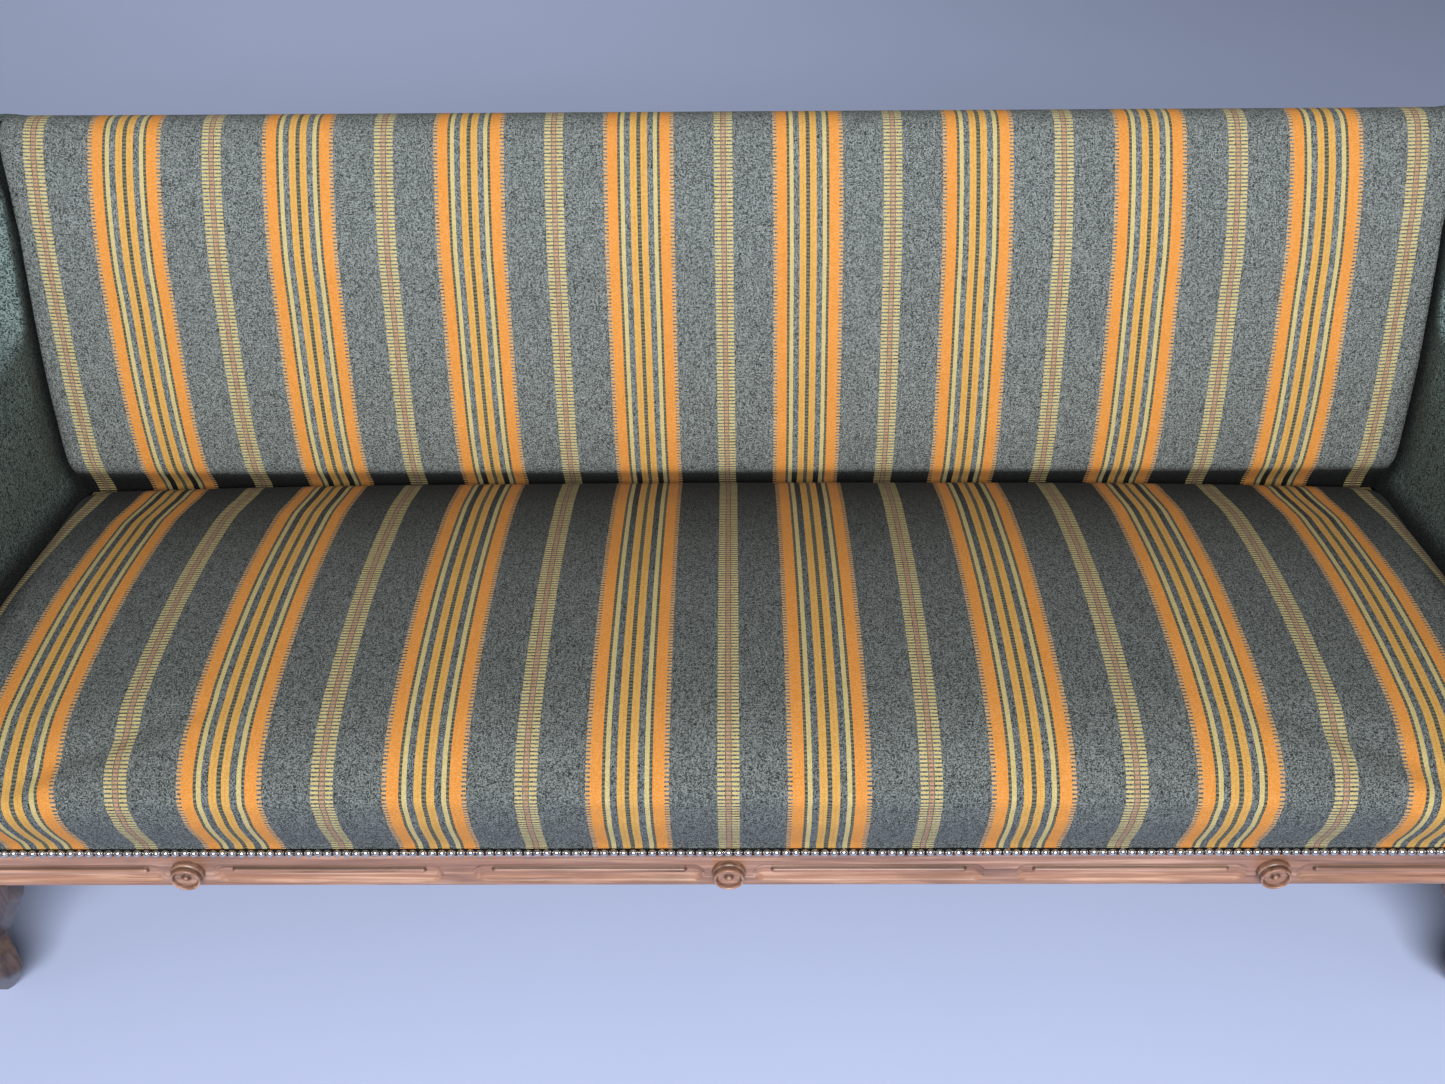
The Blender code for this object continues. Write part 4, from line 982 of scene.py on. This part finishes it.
# Depth of the carving, and how near the reed's sides lie, which sets a painted shade beside the reed: a
# channel is the cap of a ball carried along a straight line, and the reed in it a thin rod
def carvingDepth(x, z, settings):
    half, deep = settings["channelWidth"] / 2, settings["channelDepth"]
    ball = (half**2 + deep**2) / (2 * deep)
    reed = settings["reedRadius"]
    up = z - settings["carvingHeight"]
    depth = np.zeros(np.broadcast(x, z).shape)
    beside = np.zeros(depth.shape)
    for start, end in settings["channels"]:
        off = np.abs(x - (start + end) / 2)
        length = (end - start) / 2
        away = np.hypot(np.maximum(off - (length - half), 0), up)
        channel = np.maximum(np.sqrt(np.maximum(ball**2 - away**2, 0)) - (ball - deep), 0)
        near = np.hypot(np.maximum(off - (length - settings["reedShort"] - reed), 0), up)
        rod = deep - reed * 0.3 - np.sqrt(np.maximum(reed**2 - near**2, 0))
        # Painted shade in a thin line beside the reed
        beside = np.maximum(beside, np.exp(-(((near - reed) / 0.0010) ** 2)) * (channel > 0.001))
        depth = np.maximum(depth, np.where(near < reed, np.minimum(channel, rod), channel))
    return depth, beside


# The rail: its section, closed round, carried across the sofa, and its front face sunk by the carving
def makeRail(settings):
    height, radius = settings["carvingHeight"], settings["edgeRadius"]
    fine = (np.array(settings["channels"]).reshape(-1, 1) + np.linspace(-0.028, 0.028, 57)).ravel()
    x = np.unique(np.round(np.concatenate((np.arange(-0.984, 0.985, 0.006), fine, (-frameX, frameX))), 5))
    x = x[np.abs(x) <= frameX]
    outer = np.arange(0.0042, 0.0175, 0.001)
    steps = np.concatenate((np.arange(-0.0034, 0.0035, 0.0004), outer, -outer))
    above = np.arange(height + 0.019, railHigh.z - 0.002, 0.003)
    frontZ = np.unique(np.concatenate((height + steps, above, (railHigh.z,))))
    frontZ = frontZ[frontZ > railBase + radius][::-1]
    front = np.column_stack((np.full(len(frontZ), railLow.y), frontZ))
    angle = np.linspace(0, pi / 2, 7)
    turn = radius - radius * np.column_stack((np.cos(angle), np.sin(angle)))
    rest = ((railHigh.y, railBase), (railHigh.y, railHigh.z), (railHigh.y - 0.02, railHigh.z))
    sectionY, sectionZ = np.vstack((front, (railLow.y, railBase) + turn, rest)).T
    depth, beside = carvingDepth(x[:, None], sectionZ[None], settings)
    atFront = np.arange(len(sectionY)) < len(front) + 3
    wander = settings["wander"] * np.sin(x * 37)[:, None] * np.sin(sectionZ * 260)
    y = sectionY + (depth + wander) * atFront
    rings = np.dstack((np.broadcast_to(x[:, None], y.shape), y, np.broadcast_to(sectionZ, y.shape)))
    # Painted light: shade beside the reed, darker deeper in the channel with wax and painted shade, and a
    # painted highlight on the channel's lit lower flank
    litLowerFlank = ease(height - sectionZ, 0.004, 0.008) * ease(depth, 0.0, 0.001)
    waxAndPaintedLight = (beside * 0.85 + 0.18 * depth / settings["channelDepth"] - 0.3 * litLowerFlank) * atFront
    rail = makeBody("frontRail", rings, "rail_wood", waxAndPaintedLight, sharp=50)
    settle(rail, "show_wood", "front_rail")


makeRail(railSettings)
print("rail made")

# Rosettes
rosetteSettings = {
    "profile": (  # shares of the radius and of the depth, from the middle out
        (0.00, 0.90), (0.07, 0.90), (0.14, 0.84), (0.17, 0.70), (0.20, 0.56), (0.25, 0.55), (0.30, 0.64),
        (0.48, 0.71), (0.64, 0.73), (0.70, 0.69), (0.73, 0.72), (0.76, 0.92), (0.81, 1.00), (0.87, 0.98),
        (0.90, 0.88), (0.91, 0.60), (0.92, 0.50), (0.95, 0.47), (0.98, 0.42), (1.00, 0.32), (1.00, 0.00),
        (0.00, 0.00),
    ),
    "paintedShading": (  # darker in the grooves, with wax and painted shade, and lighter on the rings, by shares of the radius
        (0.0, 0.12, 0.17, 0.27, 0.35, 0.62, 0.70, 0.74, 0.80, 0.88, 0.91, 0.96, 1.0),
        (-0.3, -0.1, 0.8, 0.8, 0.2, 0.2, 0.85, 0.5, -0.3, -0.1, 0.8, 0.3, 0.6),
    ),
    "proud": 1.5,  # the buttons stand out further than the plain solids do
    "lowered": 0.0065,
    "places": (("Left", -0.616), ("Centre", 0.0), ("Right", 0.616)),
    "around": 60,
}


# A turned button: its profile carried round its own axis, which points out of the rail
def makeRosette(name, x, node, settings):
    low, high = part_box(node)
    radius, depth = (high.x - low.x) / 2, high.y - low.y
    shares = np.array(settings["profile"])
    line = np.vstack((smoothLine(shares[:-2], 2), shares[-2:]))
    angle = np.linspace(0, 2 * pi, settings["around"], endpoint=False)[None]
    across = line[:, :1] * radius
    y = high.y - line[:, 1:] * depth * settings["proud"]
    z = (low.z + high.z) / 2 - settings["lowered"] + across * np.sin(angle)
    rings = np.dstack((x + across * np.cos(angle), np.broadcast_to(y, z.shape), z))
    # Darker grooves with wax and painted shade, lighter rings
    paintedShading = np.interp(line[:, :1], *settings["paintedShading"])
    rosette = makeBody(f"rosette{name}", rings, "rail_wood", paintedShading, sharp=60)
    settle(rosette, "show_wood", node)


for rosetteName, rosetteX in rosetteSettings["places"]:
    makeRosette(rosetteName, rosetteX, f"rosette_{rosetteName.lower()}", rosetteSettings)
print("rosettes made")

# Nails
nailSettings = {
    "pitch": 0.0107,
    "radius": 0.0053,
    "height": 0.0060,
    "count": 183,
    "around": 12,
    "rings": 4,
    "sunk": 0.0026,  # depth of a head's rim behind the strip's face
    "wander": 0.00022,
    "tilt": 0.05,
    # how dark the painted reflection on the heads' lower halves is
    "paintedShade": 0.75,
    "stripSunk": 0.0019,
}


# Domed heads in a row: rings of one dome, from its rim to its top, repeated with a slight tilt
def makeNails(settings):
    low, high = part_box("front_nail_strip")
    generator = np.random.default_rng(11)
    count, around, levels = settings["count"], settings["around"], settings["rings"]
    rise = np.linspace(0, pi / 2, levels + 1)[:-1, None]
    angle = np.linspace(0, 2 * pi, around, endpoint=False)
    flat = np.broadcast_to(-np.sin(rise), (levels, around))
    ring = np.dstack((np.cos(rise) * np.cos(angle), flat, np.cos(rise) * np.sin(angle)))
    dome = np.vstack((ring.reshape(-1, 3), ((0, -1, 0), (0, 0, 0))))
    dome = dome * (settings["radius"], settings["height"], settings["radius"])
    numbers = np.arange(levels * around).reshape(levels, around)
    following = np.roll(numbers, -1, axis=1)
    walls = np.stack((numbers[:-1], following[:-1], following[1:], numbers[1:]), axis=-1).reshape(-1, 4)
    top = np.column_stack((numbers[-1], following[-1], np.full(around, levels * around)))
    base = np.column_stack((following[0], numbers[0], np.full(around, levels * around + 1)))
    places = np.zeros((count, 3))
    evenly = (np.arange(count) - (count - 1) / 2) * settings["pitch"]
    places[:, 0] = evenly + generator.normal(0, settings["wander"], count)
    places[:, 1] = low.y + settings["sunk"]
    places[:, 2] = (low.z + high.z) / 2 + generator.normal(0, settings["wander"], count)
    tilts = generator.normal(0, settings["tilt"], (count, 2))
    heads = np.broadcast_to(dome, (count, *dome.shape)).copy()
    heads[..., 1] += heads[..., 0] * tilts[:, :1] + heads[..., 2] * tilts[:, 1:]
    points = (heads + places[:, None]).reshape(-1, 3)
    starts = (np.arange(count) * len(dome))[:, None, None]
    faces = []
    for kind in (walls, top, base):
        faces += (kind + starts).reshape(-1, kind.shape[1]).tolist()
    # Painted shade: each head darker on its lower half, a painted dark reflection
    paintedShade = np.tile(settings["paintedShade"] * ease(-dome[:, 2], 0.0006, settings["radius"] * 0.8), count)

    # The strip behind the heads, nearly black: a painted shadow behind them
    ends = ((low.x, high.x), (low.y + settings["stripSunk"], high.y), (low.z, high.z))
    corners = np.array([(x, y, z) for x in ends[0] for y in ends[1] for z in ends[2]])
    box = ((0, 1, 3, 2), (4, 6, 7, 5), (0, 4, 5, 1), (2, 3, 7, 6), (0, 2, 6, 4), (1, 5, 7, 3))
    faces += (np.array(box) + len(points)).tolist()
    paintedShade = np.concatenate((paintedShade, np.ones(len(corners))))
    nails = makePiece("nailRow", np.vstack((points, corners)), faces, "nickel", waxAndPaintedLight=paintedShade, sharp=70)
    settle(nails, "nickel", "front_nail_strip")


makeNails(nailSettings)
print("nails made")

# Legs
legSettings = {
    "shares": (  # of the height, then of the width for the inner and the outer side
        (0.000, 0.464, 0.142), (0.202, 0.642, 0.024), (0.242, 0.667, 0.006), (0.279, 0.679, 0.000),
        (0.384, 0.661, 0.036), (0.432, 0.636, 0.085), (0.476, 0.612, 0.115), (0.539, 0.685, 0.085),
        (0.610, 0.745, 0.060), (0.686, 0.806, 0.030), (0.795, 0.891, 0.012), (0.888, 0.970, 0.000),
        (1.000, 1.000, 0.000),
    ),
    "width": 0.165,
    "backShare": 0.68,
    "chamfer": 0.12,
    "slant": 0.86,  # share of the section that the slanting face behind takes away
    "rings": 70,
    # Painted shade by height: darker at the foot's bottom, at the ankle and just under the rail
    "paintedShading": ((0, 0.03, 0.4, 0.47, 0.55, 0.95, 1.0), (0.5, 0, 0, 0.35, 0, 0.1, 0.4)),  # by shares of the height
    "worn": 0.0014,
}
postSettings = {
    "footY": 0.3567,
    "footDepth": 0.034,
    "depth": 0.0398,
    "chamfer": (0.004, 0.0006),  # below the seat and above
    "worn": 0.0008,
}


# Rings up a leg: at each height a rectangle with cut corners, from near and far places across and in depth;
# the corner behind on the inner side has a cut of its own
def cutSection(nearX, farX, nearY, farY, cut, slant):
    corners = (
        (nearX - cut, nearY), (nearX, nearY + cut), (nearX, farY - cut), (nearX - cut, farY),
        (farX + slant, farY), (farX, farY - slant), (farX, nearY + cut), (farX + cut, nearY),
    )
    return np.stack([np.stack(corner, axis=-1) for corner in corners], axis=-2)


# A leg from its sections and their heights, turned to its side of the sofa
def legRings(side, section, heights):
    z = np.broadcast_to(heights[:, None], section.shape[:2])
    return np.dstack((side * section[..., 0], section[..., 1], z))


# Front leg: a bracket, an ankle and a faceted foot, from smoothed shares of its width at each height
def makeFrontLeg(side, name, settings):
    line = pointsAt(smoothLine(settings["shares"], 2), np.linspace(0, 1, settings["rings"]))
    height, inner, outer = line.T
    width = settings["width"]
    nearX, farX = frameX - outer * width, frameX - inner * width
    nearY = railLow.y + outer * width
    farY = railLow.y + np.minimum(inner, settings["backShare"]) * width
    smaller = np.minimum(nearX - farX, farY - nearY)
    section = cutSection(nearX, farX, nearY, farY, settings["chamfer"] * smaller, settings["slant"] * smaller)
    rings = legRings(side, section, height * (railBase - 0.0003))
    # Painted shade, by height
    paintedShading = np.interp(height, *settings["paintedShading"])[:, None]
    leg = makeBody(f"{name}FrontLeg", rings, "leg_wood", paintedShading, sharp=28)
    bevelled(leg, settings["worn"])
    settle(leg, "show_wood", f"{name}_front_leg")


# Rear post: a chamfered square carried up the splayed leg and on up the raked frame
def makeRearPost(side, name, settings):
    low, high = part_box(f"{name}_rear_post")
    innerX, outerX = min(abs(low.x), abs(high.x)), max(abs(low.x), abs(high.x))
    knee = railLow.z
    levels = (0, knee, high.z)
    below, bend = np.linspace(0, knee - 0.03, 8), np.linspace(knee - 0.02, knee + 0.02, 9)
    heights = np.concatenate((below, bend, (high.z,)))
    fronts = np.array((settings["footY"], frameFrontY(knee), frameFrontY(high.z)))
    backs = fronts + (settings["footDepth"], settings["depth"], settings["depth"])
    front, back = np.interp(heights, levels, fronts), np.interp(heights, levels, backs)
    full = np.full(len(heights), 1.0)
    cut = np.interp(heights, (knee - 0.02, knee + 0.02), settings["chamfer"])
    rings = legRings(side, cutSection(full * outerX, full * innerX, front, back, cut, cut), heights)
    post = makeBody(f"{name}RearPost", rings, "post_wood", sharp=28)
    bevelled(post, settings["worn"])
    settle(post, "frame_wood", f"{name}_rear_post")


for legSide, legName in sides:
    makeFrontLeg(legSide, legName, legSettings)
    makeRearPost(legSide, legName, postSettings)
print("legs made")

# Webbing: straps both ways, behind the back and under the seat
webbingSettings = {
    "strapWidth": 0.055,
    "thickness": 0.0014,
    "weave": 0.0008,  # how far a strap rises and falls as it passes others
    "seatStraps": 9,
    "seatEnd": 0.235,
    "seatRows": (0.16, 0.50, 0.84),
    "backStraps": 8,
    "backEnd": 0.0425,
    "backRows": (0.34, 0.66),
}


# One strap: a middle line that waves over and under the straps it meets by a cosine, its width to both
# sides of it, and half its thickness before and behind
def strapParts(start, run, sideways, out, length, met, phase, steps, settings):
    along = np.linspace(0, length, steps)
    turns = np.interp(along, (0, *met, length), np.arange(len(met) + 2)) + phase
    middle = start + run * along[:, None] + out * (settings["weave"] * np.cos(turns * pi))[:, None]
    across = np.linspace(-0.5, 0.5, 5)[None, :, None] * settings["strapWidth"] * sideways
    lift = out * settings["thickness"] / 2
    return shellParts(middle[:, None] + across + lift, middle[:, None] + across - lift)


# Straps up and straps across, each a shell of its own, in one piece; its weave is the place up and across
def makeWebbing(name, corner, up, out, upAt, acrossAt, size, node, settings):
    corner, up, out = (np.array(value, float) for value in (corner, up, out))
    right = np.array((1.0, 0.0, 0.0))
    width, height = size
    straps = [
        strapParts(corner + right * at, up, right, out, height, acrossAt, number, 60, settings)
        for number, at in enumerate(upAt)
    ]
    straps += [
        strapParts(corner + up * at, right, up, out, width, upAt, number + 1, 180, settings)
        for number, at in enumerate(acrossAt)
    ]
    starts = np.cumsum([0] + [len(points) for points, _ in straps])
    faces = np.vstack([quads + start for (_, quads), start in zip(straps, starts)])
    points = np.vstack([points for points, _ in straps])
    weave = np.column_stack(((points - corner) @ right, (points - corner) @ up))
    webbing = makePiece(name, points, faces, "webbing", weave)
    strapsArea = settings["strapWidth"] * (len(upAt) * height + len(acrossAt) * width)
    settle(webbing, "webbing", node)


# The seat's straps lie level on the rails, and the back's lean with the frame
def makeBothWebbings(settings):
    low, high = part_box("seat_webbing")
    reach = frameX - settings["seatEnd"]
    upAt = np.linspace(-reach, reach, settings["seatStraps"]) - low.x
    rows = railHigh.y + np.array(settings["seatRows"]) * (frameFrontY(railLow.z) - railHigh.y) - low.y
    corner, size = (low.x, low.y, (low.z + high.z) / 2 - 0.0006), (high.x - low.x, high.y - low.y)
    makeWebbing(
        "seatWebbing", corner, (0, 1, 0), (0, 0, -1), upAt, rows, size,
        "seat_webbing", settings,
    )
    low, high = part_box("back_webbing")
    slope = Vector((0, lean, 1)).normalized()
    outward = Vector((0, -1, lean)).normalized()
    length = (high.z - low.z) / slope.z
    reach = edgeX - settings["backEnd"]
    upAt = np.linspace(-reach, reach, settings["backStraps"]) - low.x
    rows = np.array(settings["backRows"]) * length
    corner, size = (low.x, low.y + 0.0011, low.z), (high.x - low.x, length)
    makeWebbing(
        "backWebbing", corner, slope, outward, upAt, rows, size,
        "back_webbing", settings,
    )


makeBothWebbings(webbingSettings)

# Hessian over the springs and behind the back's stuffing
hessianSettings = {
    "seatThickness": 0.0012,
    "seatDip": 0.0012,
    "seatRow": 0.36,  # distance between the springs' rows
    "seatPoints": (140, 60),
    "backThickness": 0.0010,
    "backDip": 0.0004,
    "backPoints": (100, 40),
}


# The seat's hessian follows a bent line and dips between the springs' rows by a cosine
def makeSeatHessian(settings):
    low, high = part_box("seat_hessian")
    count, steps = settings["seatPoints"]
    evenly = np.linspace(0, 1, steps)
    behind = low.z + 0.0021
    line = pointsAt(((low.y, low.z), (low.y, high.z), (high.y - 0.02, behind), (high.y, behind)), evenly)
    across = np.linspace(low.x, high.x, count)[:, None]
    dip = settings["seatDip"] * (np.cos(across * 2 * pi / settings["seatRow"]) * np.sin(pi * evenly) ** 2 - 1)
    x = np.broadcast_to(across, dip.shape)
    top = np.dstack((x, np.broadcast_to(line[:, 0], x.shape), line[:, 1] + dip))
    along = lengthsAlong(line)
    under = top.copy()
    under[..., 1:] -= leftOf(line) * settings["seatThickness"]
    sheet = makeShell("seatHessian", top, under, "hessian", np.dstack((x, np.broadcast_to(along, x.shape))))
    settle(sheet, "hessian", "seat_hessian")


# The back's hessian leans with the frame and is dented by two crossed cosines
def makeBackHessian(settings):
    low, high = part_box("back_hessian")
    count, steps = settings["backPoints"]
    x = np.broadcast_to(np.linspace(low.x, high.x, count)[:, None], (count, steps))
    z = np.broadcast_to(np.linspace(low.z, high.z, steps), x.shape)
    dip = settings["backDip"] * np.cos(x * 2 * pi / 0.24) * np.cos(z * 2 * pi / 0.18)
    y = low.y + lean * (z - low.z) + dip
    front, back = np.dstack((x, y, z)), np.dstack((x, y + settings["backThickness"], z))
    sheet = makeShell("backHessian", front, back, "hessian", np.dstack((x, z)))
    settle(sheet, "hessian", "back_hessian")


makeSeatHessian(hessianSettings)
makeBackHessian(hessianSettings)

# Dust cover
dustSettings = {"thickness": 0.0012, "sag": 0.007, "clearance": 0.003, "postWidth": 0.043}


# Cells of a grid that lie within the outline, given a thickness; the cover sags a little between the rails,
# by the product of two parabolas
def makeDustCover(settings):
    low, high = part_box("dust_cover")
    clearance = settings["clearance"]
    legX = frameX - legSettings["width"] - clearance
    legY = railLow.y + legSettings["backShare"] * legSettings["width"] + clearance
    postX, postY = frameX - settings["postWidth"], frameFrontY(railLow.z) - clearance
    beside = np.linspace(legX, high.x, 12)
    x = np.unique(np.concatenate((np.linspace(-legX, legX, 120), beside, -beside, (postX, -postX))))
    between = (np.linspace(low.y, legY, 12), np.linspace(legY, postY, 40), np.linspace(postY, high.y, 6))
    gridX, gridY = (values.T for values in np.meshgrid(x, np.unique(np.concatenate(between))))
    spans = (high.x - low.x, high.y - low.y)
    awayX, awayY = gridX / high.x, (gridY - (low.y + high.y) / 2) / spans[1] * 2
    sag = settings["sag"] * (1 - awayX**2) * (1 - awayY**2)
    top = np.dstack((gridX, gridY, high.z - sag)).reshape(-1, 3)
    quads = gridQuads(np.arange(len(top)).reshape(gridX.shape))
    centreX, centreY = np.abs(top[quads, 0].mean(axis=1)), top[quads, 1].mean(axis=1)
    cut = ((centreX > legX) & (centreY < legY)) | ((centreX > postX) & (centreY > postY))
    used, numbers = np.unique(quads[~cut], return_inverse=True)
    points = top[used]
    cover = makePiece("dustCover", points, numbers.reshape(-1, 4), "dust_cloth", points[:, :2])
    wall = cover.modifiers.new("thickness", "SOLIDIFY")
    wall.thickness = settings["thickness"]
    wall.offset = -1
    notches = 2 * (high.x - legX) * (legY - low.y) + 2 * (high.x - postX) * (high.y - postY)
    area = spans[0] * spans[1] - notches
    settle(cover, "dust_cloth", "dust_cover")


makeDustCover(dustSettings)
print("hidden cloths made")

# The frame's own solids keep their shape and take their finish
for part in frame["record"]["subparts"]:
    node = frame["nodes"][part["node"]]
    slot = part["material_slot"]
    finish = {"show_wood": "rail_wood", "stuffing": "hessian"}.get(slot, slot)
    upright = part["node"].endswith(("muntin", "arm_post", "wing_board"))
    node.data.materials.clear()
    node.data.materials.append(finishes["post_wood" if upright else finish])

# Floor and light
stageSettings = {
    "floor": tint(184, 196, 231),
    "floorReach": 9,
    "world": (0.92, 0.96, 1.0, 1.0),
    "worldStrength": 0.15,
    "lamps": (  # name, place, aim, width, height, power
        ("front", (0.12, -3.3, 2.9), (0, 0, 0.5), 2.6, 1.4, 240),
        ("left", (-3.0, -1.6, 2.4), (0, 0, 0.4), 1.8, 1.8, 5),
        ("right", (3.0, -1.2, 2.4), (0, 0, 0.4), 1.8, 1.8, 4),
        ("rear", (-1.3, 3.6, 1.9), (-1.3, 3.61, 0), 3.2, 1.4, 18),
    ),
}


# A plain floor with a faint cloud of noise, an even sky, and soft lamps that each face their aim
def makeStage(settings):
    web = Web("floor", {"Roughness": 0.8})
    cloud = 0.98 + web.noise(web.objectPlace(), 3.0) * 0.04
    finishes["floor"] = web.finish(web.scaled(settings["floor"][:3], cloud))
    spots = np.array(((-1, -1, 0), (1, -1, 0), (1, 1, 0), (-1, 1, 0))) * float(settings["floorReach"])
    floor = makePiece("floor", spots, [(0, 1, 2, 3)], "floor")
    world = bpy.data.worlds.new("softSky")
    scene.world = world
    world.use_nodes = True
    background = world.node_tree.nodes["Background"]
    background.inputs["Color"].default_value = settings["world"]
    background.inputs["Strength"].default_value = settings["worldStrength"]
    for name, place, aim, width, height, power in settings["lamps"]:
        data = bpy.data.lights.new(name, "AREA")
        data.shape = "RECTANGLE"
        data.size, data.size_y = width, height
        data.energy = power
        lamp = bpy.data.objects.new(name, data)
        direction = (Vector(aim) - Vector(place)).to_track_quat("-Z", "Y").to_matrix().to_4x4()
        lamp.matrix_world = Matrix.Translation(place) @ direction
        scene.collection.objects.link(lamp)
    scene.view_settings.view_transform = "Standard"


makeStage(stageSettings)
print("stage made")
